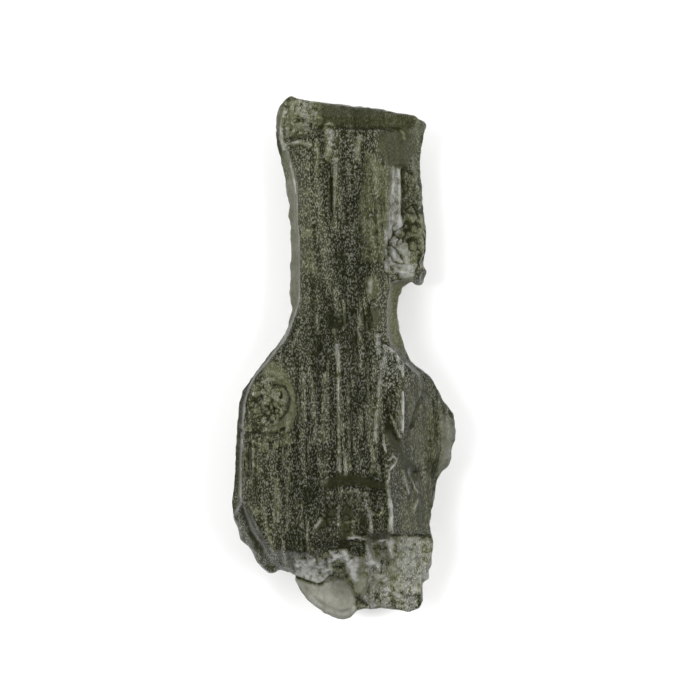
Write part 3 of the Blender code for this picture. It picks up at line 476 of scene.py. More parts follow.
# Straight creases and ribs, as (x, y, x, y, half width, height, change of paleness): painted shade on the
# creases, painted highlights on the ribs.
STRAIGHT_MARKS = [
    (4.54, 9.73, 5.15, 9.73, 0.12, -0.2, -0.4), (5.69, 11.65, 5.85, 10.81, 0.12, -0.2, -0.4),
    (1.08, -18.65, 1.69, -19.12, 0.15, -0.2, -0.4), (-1.0, 13.65, -0.92, 10.88, 0.12, -0.18, -0.4),
    (-7.31, -6.04, -7.23, -8.81, 0.2, -0.2, -0.4), (-1.69, 0.96, -2.0, 0.42, 0.17, -0.2, -0.4),
    (-3.38, -2.88, -3.15, -5.19, 0.14, -0.12, -0.4), (1.38, 4.73, 1.69, 2.12, 0.15, -0.12, -0.4),
    (-1.0, 14.27, -1.0, 10.12, 0.12, -0.12, -0.3), (0.15, 4.42, 0.23, 2.12, 0.23, -0.1, -0.2),
    (0.92, 2.12, 1.08, -1.12, 0.2, -0.1, -0.22), (-1.08, -0.19, -1.0, -6.35, 0.2, -0.1, -0.2),
    (0.46, -0.96, 0.62, -7.12, 0.23, -0.1, -0.22), (3.69, -2.88, 3.62, -4.65, 0.25, -0.12, -0.25),
    (1.69, -0.19, 1.77, -3.27, 0.18, -0.08, -0.18), (-2.92, -6.35, -2.77, -9.42, 0.2, -0.08, -0.18),
    (-7.69, -6.81, -7.54, -8.65, 0.17, -0.1, -0.25), (-8.62, -6.35, -8.54, -9.42, 0.15, 0.0, -0.15),
    (-6.62, -14.42, -4.92, -16.5, 0.23, -0.08, -0.2), (-3.0, -14.04, -2.92, -15.58, 0.18, -0.1, -0.3),
    (-2.15, -14.04, -2.0, -16.04, 0.18, -0.1, -0.3), (-3.92, -14.42, -3.85, -15.58, 0.17, -0.1, -0.25),
    (-4.92, -14.04, -4.85, -15.73, 0.17, -0.1, -0.25), (-4.46, -13.88, -4.23, -15.27, 0.12, -0.06, -0.45),
    (-3.85, -13.73, -3.62, -15.27, 0.11, -0.06, -0.45), (-3.15, -13.88, -2.92, -15.58, 0.12, -0.06, -0.45),
    (-2.38, -14.27, -2.08, -15.73, 0.12, -0.06, -0.4), (-0.92, 15.81, -1.0, 11.19, 0.07, -0.08, -0.45),
    (4.5, -0.5, 4.54, -1.42, 0.09, 0.1, 0.9), (4.23, 14.42, 4.27, 10.42, 0.14, 0.15, 0.5),
    (3.23, 9.65, 3.19, 8.58, 0.14, 0.15, 0.5), (2.54, 1.65, 2.77, 1.65, 0.15, 0.15, 0.5),
    (-4.62, -14.04, -4.38, -16.04, 0.09, 0.1, 0.35), (-3.69, -14.19, -3.46, -16.35, 0.09, 0.1, 0.35),
    (-2.77, -14.42, -2.62, -16.65, 0.09, 0.1, 0.35), (6.23, -15.81, 6.38, -17.04, 0.17, 0.2, 0.5),
    (-1.0, 17.19, -1.0, 15.5, 0.18, 0.1, 0.45), (-2.0, 16.65, -2.0, 13.96, 0.13, 0.08, 0.27),
    (1.08, 16.81, 1.0, 15.58, 0.15, 0.1, 0.42), (2.15, -2.88, 2.0, -6.35, 0.1, 0.06, 0.22),
    (-1.46, -1.12, -1.62, -6.35, 0.09, 0.08, 0.27), (-3.15, -1.12, -3.0, -4.81, 0.09, 0.08, 0.22),
    (-2.38, -1.58, -2.15, -6.35, 0.1, 0.06, 0.18), (-6.92, -6.35, -6.92, -8.96, 0.1, 0.1, 0.45),
    (-5.15, -9.27, -5.31, -12.5, 0.1, 0.08, 0.3), (-4.15, -8.04, -4.31, -10.96, 0.09, 0.06, 0.22),
    (2.08, 5.96, 2.0, 4.58, 0.16, 0.05, 0.38), (2.46, 1.58, 2.69, 0.42, 0.15, 0.1, 0.6),
    (1.23, 3.27, 1.31, 1.35, 0.1, 0.08, 0.3), (-2.08, 3.27, -2.0, 2.12, 0.09, 0.08, 0.38),
    (-3.46, 2.27, -4.0, 0.58, 0.11, 0.05, 0.22), (0.38, -7.5, 0.42, -8.5, 0.09, 0.06, 0.4),
    (4.31, -4.19, 4.42, -5.58, 0.1, 0.05, 0.3), (-0.38, -11.27, -0.42, -12.81, 0.09, 0.08, 0.4),
    (-2.15, -12.96, -1.69, -12.27, 0.1, 0.1, 0.6), (-2.77, -12.5, -2.85, -14.04, 0.1, 0.1, 0.4),
    (0.15, -12.58, 0.92, -12.5, 0.08, 0.06, 0.35), (5.31, -11.88, 5.69, -10.96, 0.09, 0.08, 0.3),
    (-1.23, 17.42, -1.15, 15.19, 0.25, 0.06, 0.28), (-5.0, -10.04, -5.04, -12.5, 0.08, 0.06, 0.35),
]
MARKS = CREASES + RIBS + [([row[:2], row[2:4]], *row[4:]) for row in STRAIGHT_MARKS]
# Scallops, chips and small pits as (centre x, centre y, half width, half length, depth).
SCALLOPS = [
    (4.31, 8.42, 0.62, 1.23, 0.45), (5.23, 8.96, 0.54, 0.46, 0.3), (5.15, 7.35, 0.69, 0.62, 0.4),
    (4.92, 10.42, 0.46, 0.54, 0.3), (5.38, 11.5, 0.46, 0.46, 0.3), (5.54, 12.73, 0.38, 0.62, 0.3),
    (5.0, 13.58, 0.38, 0.62, 0.25), (5.85, 9.96, 0.31, 0.54, 0.25), (3.92, 7.35, 0.54, 0.46, 0.35),
    (-5.85, -3.58, 0.69, 0.77, -0.3), (-6.62, -3.12, 0.38, 0.46, 0.25), (-5.62, -2.65, 0.38, 0.38, 0.25),
    (-6.31, -4.27, 0.46, 0.38, 0.3), (-5.31, -3.81, 0.38, 0.46, 0.25), (-6.08, -2.35, 0.38, 0.31, 0.2),
    (-2.62, 18.81, 0.46, 0.46, 0.2), (-3.38, 17.96, 0.62, 0.54, 0.25), (-2.0, 18.42, 0.38, 0.38, 0.2),
    (-2.92, 19.42, 0.38, 0.31, 0.15), (-3.85, 19.04, 0.38, 0.46, 0.2), (-2.23, 17.5, 0.38, 0.31, 0.2),
    (4.62, -14.96, 0.62, 0.69, 0.2), (5.85, -15.58, 0.46, 0.69, 0.2), (4.15, -16.73, 0.69, 0.62, 0.2),
    (5.46, -17.5, 0.62, 0.62, 0.2), (2.92, -17.88, 0.69, 0.54, 0.2), (3.08, -16.04, 0.62, 0.62, 0.25),
    (5.08, -18.65, 0.69, 0.38, 0.25), (-0.46, 2.73, 0.38, 0.31, 0.1), (-0.15, 7.81, 0.38, 0.31, 0.1),
    (-1.85, 0.81, 0.31, 0.31, 0.1), (-0.54, 2.96, 0.23, 0.23, 0.08), (1.92, 3.04, 0.31, 0.38, 0.2),
    (2.08, 4.42, 0.31, 0.46, 0.15), (3.38, 5.19, 0.38, 0.69, -0.1), (3.92, -6.12, 0.46, 1.0, 0.1),
    (5.31, -8.88, 0.69, 0.62, 0.1), (0.15, -14.04, 0.46, 0.77, 0.15), (0.92, -12.58, 0.38, 0.69, 0.1),
    (-1.23, -15.96, 0.62, 0.62, 0.2), (-2.38, -16.35, 0.54, 0.46, 0.2), (-3.38, -16.35, 0.46, 0.46, 0.15),
    (-5.69, -6.73, 0.54, 0.77, 0.15), (-4.92, -8.65, 0.46, 0.92, 0.15), (-6.31, -10.96, 0.54, 0.92, 0.15),
    (-3.38, -10.96, 0.46, 0.92, 0.15), (-4.54, -12.5, 0.46, 0.92, 0.15),
]

# The front's relief starts this far below the rim's level. Its flow lines are (cell across, cell along,
# height, seed), its grain is (cell, height, seed) and its pits are (cell, depth, level, seed).
RELIEF_BELOW_RIM = 0.3
FLOW_LINES = [(0.9, 8.0, 0.03, 47), (0.42, 5.0, 0.03, 51), (0.28, 3.5, 0.02, 53)]
GRAIN = [(0.5, 0.02, 61), (0.3, 0.015, 67)]
PITS = (0.34, 0.015, 0.3, 71)
# Chips along the rim as (cell, height, seed), and how far in they reach.
RIM_CHIPS = [(0.75, 0.07, 91), (0.34, 0.05, 93)]
RIM_CHIPS_REACH = 0.5
# Streaks along the flow that are hazier or clearer than the rest: (cell across, cell along, strength, seed).
STREAKS = [(0.6, 7.0, 0.25, 81), (0.34, 6.0, 0.45, 83), (0.22, 5.0, 0.5, 87), (0.15, 3.5, 0.4, 89)]
STREAK_FROST = 0.7
STREAK_HAZE = 0.22
STREAK_PALE = 0.2
# How much creases and ribs change the frost and clear the haze, and how much their painted shade and
# highlights are broken up in places, with the (cell, seed) of that break-up.
STROKE_FROST = 1.2
STROKE_CLEAR = 0.25
STROKE_BREAKUP = 0.6
STROKE_BREAKUP_PATTERN = (0.3, 111)
# Mottling of the paler places as (cell, strength, seed), and its share in the dark ones.
MOTTLE = [(0.5, 0.6, 97), (0.26, 0.9, 99)]
MOTTLE_LEAST = 0.08
# Frost and haze from which the skin goes from olive to grey.
GREY_FROST = (0.65, 1.0)
GREY_HAZE = (0.55, 0.85)
HAZE_GREY = 0.6

# The glass: how much light goes through, and what it loses on its way.
GLASS_TRANSMISSION = 0.72
GLASS_IOR = 1.49
ABSORPTION_TINT = (0.5, 0.52, 0.24, 1.0)
ABSORPTION_DENSITY = 320.0
GLEAM_TINT = (0.225, 0.23, 0.145, 1.0)
ROUGHNESS_SPAN = (0.08, 0.7)
# The frost's dots, which are glints painted into the glass's tint, and the bumps of the same grain.
SPECKLE_STRETCH = (1.25, 0.6, 1.0)
SPECKLE_SCALE = 9000.0
SPECKLE_DETAIL = 1.0
SPECKLE_EDGE = (0.52, 0.6)
GLINT_DOT_STRENGTH = 0.6
GLINT_DOT_TINT = (0.93, 0.93, 0.81, 1.0)
BUMP_DISTANCE = 0.00002
# The glass's tint by paleness, from deep to pale, and the grey of its frosted places.
DEEP_TINT = (0.015, 0.018, 0.005, 1.0)
OLIVE_TINT = (0.15, 0.156, 0.07, 1.0)
OLIVE_AT = 0.16
GREY_TINT = (0.5, 0.5, 0.465, 1.0)
GREY_AT = 0.52
PALE_TINT = (0.88, 0.88, 0.84, 1.0)
FROSTED_TINT = (0.86, 0.87, 0.875, 1.0)

FLOOR_SIZE = 1.2
FLOOR_DROP = 0.00005
FLOOR_TINT = (0.9, 0.9, 0.9, 1.0)
FLOOR_ROUGHNESS = 0.9
# Soft lights as (place, width and length, power).
LIGHTS = {
    "left_box": ((-0.52, 0.04, 0.32), (0.5, 0.8), 3.8),
    "right_box": ((0.52, 0.02, 0.32), (0.5, 0.8), 3.8),
    "top_box": ((0.0, 0.56, 0.34), (0.8, 0.4), 1.7),
    "left_strip": ((-0.42, 0.02, 0.5), (0.02, 0.5), 1.5),
    "right_strip": ((0.42, 0.1, 0.5), (0.02, 0.4), 1.0),
}
SKY_STRENGTH = 0.35


def smooth_step(value, start, end):
    """Rises smoothly from 0 at start to 1 at end."""
    t = np.clip((value - start) / (end - start), 0.0, 1.0)
    return t * t * (3.0 - 2.0 * t)


def soft_lower(first, second, width):
    """The lower of two heights, with a fillet of about this width where they meet."""
    gap = np.clip(0.5 + 0.5 * (second - first) / width, 0.0, 1.0)
    return second + (first - second) * gap - width * gap * (1.0 - gap)


def run_through(points, steps):
    """Points along a smooth line through the given ones, with its last point left off."""
    knots = np.array(points, float)
    before = np.vstack([2 * knots[0] - knots[1], knots[:-2]])
    after = np.vstack([knots[2:], 2 * knots[-1] - knots[-2]])
    line = []
    for p0, p1, p2, p3 in zip(before, knots[:-1], knots[1:], after):
        for t in np.arange(steps) / steps:
            tangent_in = 0.5 * (p2 - p0)
            tangent_out = 0.5 * (p3 - p1)
            line.append(
                (2 * t**3 - 3 * t**2 + 1) * p1 + (t**3 - 2 * t**2 + t) * tangent_in
                + (3 * t**2 - 2 * t**3) * p2 + (t**3 - t**2) * tangent_out
            )
    return line


def closed_outline():
    """The whole outline as one closed line, each run drawn up to the start of the next."""
    line = []
    for run, following in zip(OUTLINE_RUNS, OUTLINE_RUNS[1:] + OUTLINE_RUNS[:1]):
        line += run_through(run + following[:1], OUTLINE_STEPS)
    return np.array(line)


def to_segment(x, y, start, end):
    """The nearest point of a straight line: its share of the way along, and how far off it is."""
    dx = end[0] - start[0]
    dy = end[1] - start[1]
    along = ((x - start[0]) * dx + (y - start[1]) * dy) / max(dx * dx + dy * dy, 1e-12)
    along = np.clip(along, 0.0, 1.0)
    return along, np.hypot(x - start[0] - along * dx, y - start[1] - along * dy)


def distance_inside(x, y, loop):
    """The distance to a closed line: positive inside it, negative outside."""
    nearest = np.full(x.shape, np.inf)
    crossings = np.zeros(x.shape, int)
    for (ax, ay), (bx, by) in zip(loop, np.roll(loop, -1, axis=0)):
        nearest = np.minimum(nearest, to_segment(x, y, (ax, ay), (bx, by))[1])
        if ay != by:
            spans = (ay > y) != (by > y)
            crossings += spans & (x < ax + (y - ay) * (bx - ax) / (by - ay))
    return np.where(crossings % 2 == 1, nearest, -nearest)


def share_inside(x, y, loop, wall):
    """1 inside a closed line and 0 outside it, with an edge of this half width."""
    return smooth_step(distance_inside(x, y, loop), -wall, wall)


def near_line(x, y, line, half_width):
    """1 on an open line, falling to 0 beside it and towards its ends."""
    nearest = np.full(x.shape, np.inf)
    for start, end in zip(line[:-1], line[1:]):
        nearest = np.minimum(nearest, to_segment(x, y, start, end)[1])
    return np.exp(-((nearest / half_width) ** 2))


def depth_from_rim(x, y, loop):
    """How far in from the whole rim a point is, without the creases of a plain distance."""
    pull = np.zeros(x.shape)
    for (ax, ay), (bx, by) in zip(loop, np.roll(loop, -1, axis=0)):
        length = np.hypot(bx - ax, by - ay)
        away = np.hypot(x - (ax + bx) / 2, y - (ay + by) / 2)
        pull += length / np.maximum(away, 0.5 * length) ** 3
    return np.sqrt(2.0 / pull)


def value_noise(across, along, seed):
    """Smooth random heights between -1 and 1 at points given in cells."""
    table = np.random.default_rng(seed).uniform(-1.0, 1.0, (NOISE_CELLS, NOISE_CELLS))
    column = np.floor(across).astype(int)
    row = np.floor(along).astype(int)
    u = smooth_step(across - column, 0.0, 1.0)
    v = smooth_step(along - row, 0.0, 1.0)
    column = column % NOISE_CELLS
    row = row % NOISE_CELLS
    next_column = (column + 1) % NOISE_CELLS
    next_row = (row + 1) % NOISE_CELLS
    upper = table[row, column] * (1 - u) + table[row, next_column] * u
    lower = table[next_row, column] * (1 - u) + table[next_row, next_column] * u
    return upper * (1 - v) + lower * v


def unevenness(x, y, pattern, start):
    """Random heights of a pattern given as (cell across, cell along, height, seed)."""
    across, along, height, seed = pattern
    return height * value_noise(x / across + start[0], y / along + start[1], seed)


def value_noise_3d(places, cell, seed):
    """Smooth random heights between -1 and 1 at points of space."""
    rows = np.random.default_rng(seed).uniform(-1.0, 1.0, SPACE_ROWS)
    scaled = places @ NOISE_TURN / cell + SPACE_START
    base = np.floor(scaled).astype(int)
    part = smooth_step(scaled - base, 0.0, 1.0)
    total = np.zeros(len(places))
    for corner in range(8):
        step = np.array([corner & 1, (corner >> 1) & 1, corner >> 2])
        mixed = (base + step) * np.array(SPACE_MIX)
        pick = (mixed[:, 0] ^ mixed[:, 1] ^ mixed[:, 2]) % SPACE_ROWS
        weight = np.prod(np.where(step == 1, part, 1.0 - part), axis=1)
        total += rows[pick] * weight
    return total


def dish(x, y, hollow):
    """How deep a rounded hollow is at each point."""
    centre_x, centre_y, half_width, half_length, depth = hollow
    r = np.hypot((x - centre_x) / half_width, (y - centre_y) / half_length)
    return depth * (1.0 - smooth_step(r, 0.0, 1.0))


def groove(x, y, line):
    """How deep a groove between two points is at each point."""
    half_width, depth = line[4:]
    along, away = to_segment(x, y, line[:2], line[2:4])
    off = away / half_width
    return depth * np.exp(-off * off) * np.sin(np.pi * np.clip(along, *GROOVE_FADE))


def sloping_plane(x, y, facet):
    """The height of a plane that falls away downhill from its upper line."""
    (line_x, line_y), (way_x, way_y), slope, height = facet
    length = np.hypot(way_x, way_y)
    return height - slope * ((x - line_x) * way_x + (y - line_y) * way_y) / length


def along_stone(y, column):
    """A value of the SPINE table at each place along the stone, with its bends eased."""
    table = np.array(SPINE[::-1])
    shifts = np.linspace(-SPINE_EASING, SPINE_EASING, 7)
    return sum(np.interp(y + shift, table[:, 0], table[:, column]) for shift in shifts) / len(shifts)


def rim_half_thickness(x, y):
    """Half the rim's thickness: thin at the sides, thicker along the three broken ends."""
    top = smooth_step(y, *TOP_RIM_SPAN)
    left_foot = smooth_step(-y, *LEFT_FOOT_RIM_SPAN) * smooth_step(-x, *LEFT_FOOT_RIM_SIDE)
    block = smooth_step(-y, *BLOCK_RIM_SPAN) * smooth_step(x, *BLOCK_RIM_SIDE)
    extra = TOP_RIM_EXTRA * top + LEFT_FOOT_RIM_EXTRA * left_foot + BLOCK_RIM_EXTRA * block
    return MARGIN_HALF_THICKNESS + extra


def ring_radius(x, y):
    """The distance from the middle of the open bubble, 1 at its edge."""
    return np.hypot((x - RING_CENTRE[0]) / RING_HALF_WIDTH, (y - RING_CENTRE[1]) / RING_HALF_LENGTH)


def ring_depth(x, y):
    """The open bubble: a sloping wall, a groove inside it and a floor that comes up again in the middle."""
    r = ring_radius(x, y)
    wall = RING_DEPTH * (1.0 - smooth_step(r, *RING_WALL))
    trough = RING_GROOVE_DEPTH * np.exp(-(((r - RING_GROOVE_AT) / RING_GROOVE_HALF_WIDTH) ** 2))
    floor_share = RING_MIDDLE + (1.0 - RING_MIDDLE) * smooth_step(r, 0.0, RING_MIDDLE_REACH)
    return wall * floor_share + trough


def back_height(x, y, edge, outline):
    """The underside: nearly flat in the middle, curving up to the rim."""
    inward = np.clip(np.minimum(depth_from_rim(x, y, outline), edge) / BACK_REACH, 0.0, 1.0)
    rim = along_stone(y, 2) - rim_half_thickness(x, y)
    height = (rim + BACK_SINK) * (1.0 - inward) ** BACK_POWER - BACK_SINK
    height -= BACK_TILT * (np.clip(y, *BACK_TILT_SPAN) - BACK_TILT_MIDDLE)
    height += ROCKER_RISE * np.maximum(np.abs(y - ROCKER_MIDDLE) - ROCKER_START, 0.0) ** 2
    lift = smooth_step(edge, 0.0, BACK_RELIEF_REACH)
    for line in BACK_GROOVES:
        height += lift * groove(x, y, line)
    for pit in BACK_PITS:
        height += lift * dish(x, y, pit)
    height += lift * unevenness(x, y, BACK_LUMPS, BACK_START)
    return np.maximum(height, 0.0)


def top_height(x, y, crest):
    """The high middle, with its breaks, hollows, grooves and unevenness."""
    top = along_stone(y, 1) - CREST_ROUNDING * np.exp(-np.maximum(crest, 0.0) / CREST_ROUNDING_REACH)
    for facet in (TOP_BREAK, UPPER_RIGHT_FACET, LEFT_BEVEL, LEFT_FOOT_BREAK):
        top = soft_lower(top, sloping_plane(x, y, facet), SOFT_CUT)
    left, right = MIDDLE_BREAK_SIDES
    beside = BREAK_SIDE_SLOPE * np.maximum(left - x, 0.0) + BREAK_SIDE_SLOPE * np.maximum(x - right, 0.0)
    top = soft_lower(top, sloping_plane(x, y, MIDDLE_BREAK) + beside, SOFT_CUT)
    line = np.array(WING_FACET_LINE[::-1])
    wing = WING_FACET_HEIGHT - WING_FACET_SLOPE * (x - np.interp(y, line[:, 0], line[:, 1]))
    wing += WING_FACET_END_SLOPE * np.maximum(y - WING_FACET_LINE[0][0], 0.0)
    top = soft_lower(top, wing, SOFT_CUT)
    for hollow in (TOP_CHIP, LENS_HOLLOW, ARCH_HOLLOW, DARK_POCKET, *SPOT_HOLLOWS):
        top -= dish(x, y, hollow)
    top -= ring_depth(x, y)
    for line in FLOW_GROOVES:
        top -= GROOVE_SHARE * groove(x, y, line)
    for pattern in SURFACE_LUMPS:
        top += unevenness(x, y, pattern, LUMPS_START)
    return top + unevenness(x + FLOW_TILT * y, y, SURFACE_FLOW, FLOW_START)


def front_height(x, y, edge, back):
    """The upper side: the high middle, the thin margins around it, and the parts broken down lower."""
    crest = distance_inside(x, y, CREST)
    margin = along_stone(y, 2) + rim_half_thickness(x, y) + MARGIN_SLOPE * np.minimum(edge, MARGIN_REACH)
    above = np.maximum(top_height(x, y, crest), margin) - margin
    height = margin + above * smooth_step(crest, -WALL, WALL)

    scar_floor = SCAR_FLOOR_LEFT - SCAR_FLOOR_FALL * (x - SCAR[0][0])
    scar_floor += unevenness(x, y, SCAR_LUMPS, SCAR_START)
    height -= share_inside(x, y, SCAR, WALL) * np.maximum(height - scar_floor, 0.0)
    height += dish(x, y, HOOK_LUMP)

    block_floor = BLOCK_FLOOR - BLOCK_FLOOR_FALL * (BLOCK[0][1] - y)
    block_floor += unevenness(x, y, BLOCK_LUMPS, BLOCK_START)
    height -= share_inside(x, y, BLOCK, WALL) * np.maximum(height - block_floor, 0.0)
    lobe_top = back + LOBE_RIM_THICKNESS + LOBE_THICKENING * np.maximum(edge, 0.0)
    height -= share_inside(x, y, LOBE, WALL) * np.maximum(height - lobe_top, 0.0)
    return np.maximum(height, back + 2 * MARGIN_HALF_THICKNESS)


def blend(first, second, share):
    """From one look to another, by a share for each point."""
    return np.array(first) + (np.array(second) - np.array(first)) * share[:, None]


def skin_looks(x, y, front, upper):
    """Frost, haze and paleness of the skin at each point of the front, the sides and the back."""
    crest_skin = blend(CREST_SKIN, LOWER_CREST_SKIN, smooth_step(-y, *LOWER_CREST_SPAN))
    looks = blend(MARGIN_SKIN, crest_skin, smooth_step(distance_inside(x, y, CREST), *CREST_SKIN_EDGE))
    r = ring_radius(x, y)
    inner, outer = RING_BAND
    # Painted light on the bubble's right wall, fading out towards its left side.
    band = smooth_step(r, inner - RING_BAND_EDGE, inner + RING_BAND_EDGE)
    band *= 1.0 - smooth_step(r, outer - RING_BAND_EDGE, outer + RING_BAND_EDGE)
    band *= smooth_step(x - RING_CENTRE[0], -RING_BAND_FADE, RING_BAND_FADE)
    looks = blend(looks, RING_BAND_PAINTED_LIGHT_SKIN, band)
    looks = blend(looks, RING_LUMP_SKIN, 1.0 - smooth_step(r, inner - RING_LUMP_FADE, inner))
    for _, look, place in SKIN_PLACES:
        looks = blend(looks, look, share_inside(x, y, place, PLACE_EDGE))
    return np.where(upper[:, None], blend(SIDE_SKIN, looks, front), np.array(BACK_SKIN))


def lump_creases(places):
    """The creases between lumps: their depth, and the painted shade in them with painted light on the lumps
    between.
    """
    depth = np.zeros(len(places))
    painted_crease_shade = np.zeros(len(places))
    for seed, (_, cell, height, change, place) in enumerate(LUMPY_PLACES, LUMP_FIRST_SEED):
        inside = share_inside(places[:, 0], places[:, 1], place, PLACE_EDGE)
        crease = 1.0 - smooth_step(np.abs(value_noise_3d(places, cell, seed)), 0.0, LUMP_CREASE)
        depth += height * inside * crease
        painted_crease_shade += change * inside * (crease - LUMP_EVEN)
    return depth, painted_crease_shade


def skin_relief(places, frost, edge):
    """How far the skin stands out at each point."""
    x = places[:, 0]
    y = places[:, 1]
    relief = np.zeros(len(places))
    for pattern in FLOW_LINES:
        relief += unevenness(x + FLOW_TILT * y, y, pattern, SKIN_START)
    for cell, height, seed in GRAIN:
        relief += height * value_noise_3d(places, cell, seed)
    cell, depth, level, seed = PITS
    relief -= depth * smooth_step(value_noise_3d(places, cell, seed), level, 1.0)
    relief *= frost
    on_rim = 1.0 - smooth_step(edge, 0.0, RIM_CHIPS_REACH)
    for cell, height, seed in RIM_CHIPS:
        relief += on_rim * height * value_noise_3d(places, cell, seed)
    upper = np.where(places[:, 2] > along_stone(y, 2) - RELIEF_BELOW_RIM, 1.0, 0.0)
    for line, half_width, height, _ in MARKS:
        relief += upper * height * near_line(x, y, line, half_width)
    for hollow in SCALLOPS:
        relief -= upper * dish(x, y, hollow)
    return relief


def outline_slab(outline):
    """The outline as a filled curve with a small thickness."""
    curve = bpy.data.curves.new("outline", "CURVE")
    curve.dimensions = "2D"
    curve.fill_mode = "BOTH"
    curve.extrude = SLAB_HALF_THICKNESS * MM
    spline = curve.splines.new("POLY")
    spline.points.add(len(outline) - 1)
    for point, (x, y) in zip(spline.points, outline):
        point.co = (x * MM, y * MM, 0.0, 1.0)
    spline.use_cyclic_u = True
    slab = bpy.data.objects.new("slab", curve)
    bpy.context.scene.collection.objects.link(slab)
    return slab


def settled_mesh(thing, name):
    """The mesh of an object with its modifiers worked in."""
    bpy.context.view_layer.update()
    graph = bpy.context.evaluated_depsgraph_get()
    mesh = bpy.data.meshes.new_from_object(thing.evaluated_get(graph))
    mesh.name = name
    return mesh


def worked(mesh, kind, only=None, **settings):
    """A mesh after one modifier, on some vertices or on all. The mesh given is removed."""
    thing = bpy.data.objects.new("work", mesh)
    bpy.context.scene.collection.objects.link(thing)
    modifier = thing.modifiers.new(kind.lower(), kind)
    if only is not None:
        thing.vertex_groups.new(name="only").add(only.tolist(), 1.0, "REPLACE")
        modifier.vertex_group = "only"
    for setting, value in settings.items():
        setattr(modifier, setting, value)
    result = settled_mesh(thing, mesh.name)
    bpy.data.objects.remove(thing, do_unlink=True)
    bpy.data.meshes.remove(mesh)
    return result


def read_vectors(rows, name):
    """The vectors of a mesh's rows, one row each."""
    flat = np.empty(len(rows) * 3)
    rows.foreach_get(name, flat)
    return flat.reshape(-1, 3)


def vertex_places(mesh):
    """The vertices in millimetres, one row each."""
    return read_vectors(mesh.vertices, "co") / MM


def vertex_facing(mesh):
    """The directions that the surface faces at its vertices, one row each."""
    return read_vectors(mesh.vertex_normals, "vector")


def set_vertex_places(mesh, places):
    """Puts the vertices back, given in millimetres."""
    mesh.vertices.foreach_set("co", (places * MM).ravel())
    mesh.update()


def shape_stone(mesh, outline):
    """Moves the slab's two faces to the stone's back and front."""
    places = vertex_places(mesh)
    x = places[:, 0]
    y = places[:, 1]
    edge = np.maximum(distance_inside(x, y, outline), 0.0)
    back = back_height(x, y, edge, outline)
    front = front_height(x, y, edge, back)
    half = np.abs(places[:, 2]).max()
    share = (places[:, 2] + half) / (2.0 * half)
    places[:, 2] = back + share * (front - back)
    set_vertex_places(mesh, places)


def marked_looks(places, looks, painted_crease_shade, front):
    """The skin's looks with the painted shade and highlights of the strokes, the painted shade in the
    creases of lumps, streaks and mottling, and how grey it is.
    """
    x = places[:, 0]
    y = places[:, 1]
    frost = looks[:, 0].copy()
    haze = looks[:, 1].copy()
    breakup = smooth_step(value_noise_3d(places, *STROKE_BREAKUP_PATTERN), -0.5, 0.5)
    # Each stroke's change of paleness paints shade into the creases and highlights onto the ribs, broken up
    # in places.
    for line, half_width, _, change in MARKS:
        on_line = near_line(x, y, line, half_width) * front * (1.0 - STROKE_BREAKUP * (1.0 - breakup))
        looks[:, 0] += STROKE_FROST * change * on_line
        looks[:, 1] -= STROKE_CLEAR * max(change, 0.0) * on_line
        looks[:, 2] += change * on_line
    # Painted shade in the lumps' creases, painted light on their tops.
    looks[:, 0] -= STROKE_FROST * painted_crease_shade * front
    looks[:, 2] -= painted_crease_shade * front
    streaks = sum(unevenness(x + FLOW_TILT * y, y, pattern, SKIN_START) for pattern in STREAKS)
    looks[:, 0] += STREAK_FROST * streaks * frost
    looks[:, 1] += STREAK_HAZE * streaks * frost
    mottle = sum(strength * value_noise_3d(places, cell, seed) for cell, strength, seed in MOTTLE)
    mottle = mottle * (MOTTLE_LEAST + np.clip(looks[:, 2], 0.0, 1.0)) * frost * front
    looks[:, 2] += STREAK_PALE * streaks * frost + mottle
    grey = np.maximum(smooth_step(looks[:, 0], *GREY_FROST), HAZE_GREY * smooth_step(haze, *GREY_HAZE))
    return np.column_stack([looks, grey])


def carve_skin(mesh, outline):
    """Raises the fine relief on the form and stores how the skin looks at each vertex."""
    places = vertex_places(mesh)
    facing = vertex_facing(mesh)
    front = smooth_step(facing[:, 2], *FRONT_LEAN)
    looks = skin_looks(places[:, 0], places[:, 1], front, facing[:, 2] > BACK_LEAN)
    relief = skin_relief(places, looks[:, 0], distance_inside(places[:, 0], places[:, 1], outline))
    creases, painted_crease_shade = lump_creases(places)
    relief -= creases * front
    looks = marked_looks(places, looks, painted_crease_shade, front)
    places += facing * relief[:, None]
    places[:, 2] = np.maximum(places[:, 2], 0.0)
    set_vertex_places(mesh, places)
    for column, name in enumerate(("frost", "haze", "pale", "grey")):
        layer = mesh.attributes.new(name, "FLOAT", "POINT")
        layer.data.foreach_set("value", np.clip(looks[:, column], 0.0, 1.0))


def fit_to_solid(mesh):
    """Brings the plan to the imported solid's length and width."""
    places = vertex_places(mesh)
    low = places.min(axis=0)
    high = places.max(axis=0)
    solid_low = np.array(CAD_BOX[0]) / MM
    solid_high = np.array(CAD_BOX[1]) / MM
    for axis in (0, 1):
        share = (places[:, axis] - low[axis]) / (high[axis] - low[axis])
        places[:, axis] = solid_low[axis] + share * (solid_high[axis] - solid_low[axis])
    set_vertex_places(mesh, places)


def add_node(tree, kind, values=None, **settings):
    """A new node with its settings, and with its sockets set or linked."""
    node = tree.nodes.new(kind)
    for name, setting in settings.items():
        setattr(node, name, setting)
    for socket, value in (values or {}).items():
        if isinstance(value, bpy.types.NodeSocket):
            tree.links.new(value, node.inputs[socket])
        else:
            node.inputs[socket].default_value = value
    return node


def skin_value(tree, name, low=0.0, high=1.0):
    """A value that goes from low to high with one of the skin's stored looks."""
    stored = add_node(tree, "ShaderNodeAttribute", attribute_name=name).outputs["Fac"]
    spread = add_node(tree, "ShaderNodeMapRange", {"To Min": low, "To Max": high, "Value": stored})
    return spread.outputs["Result"]


def tint_between(tree, first, second, share):
    """A colour between two others."""
    values = {"A": first, "B": second, "Factor": share}
    return add_node(tree, "ShaderNodeMix", values, data_type="RGBA").outputs["Result"]


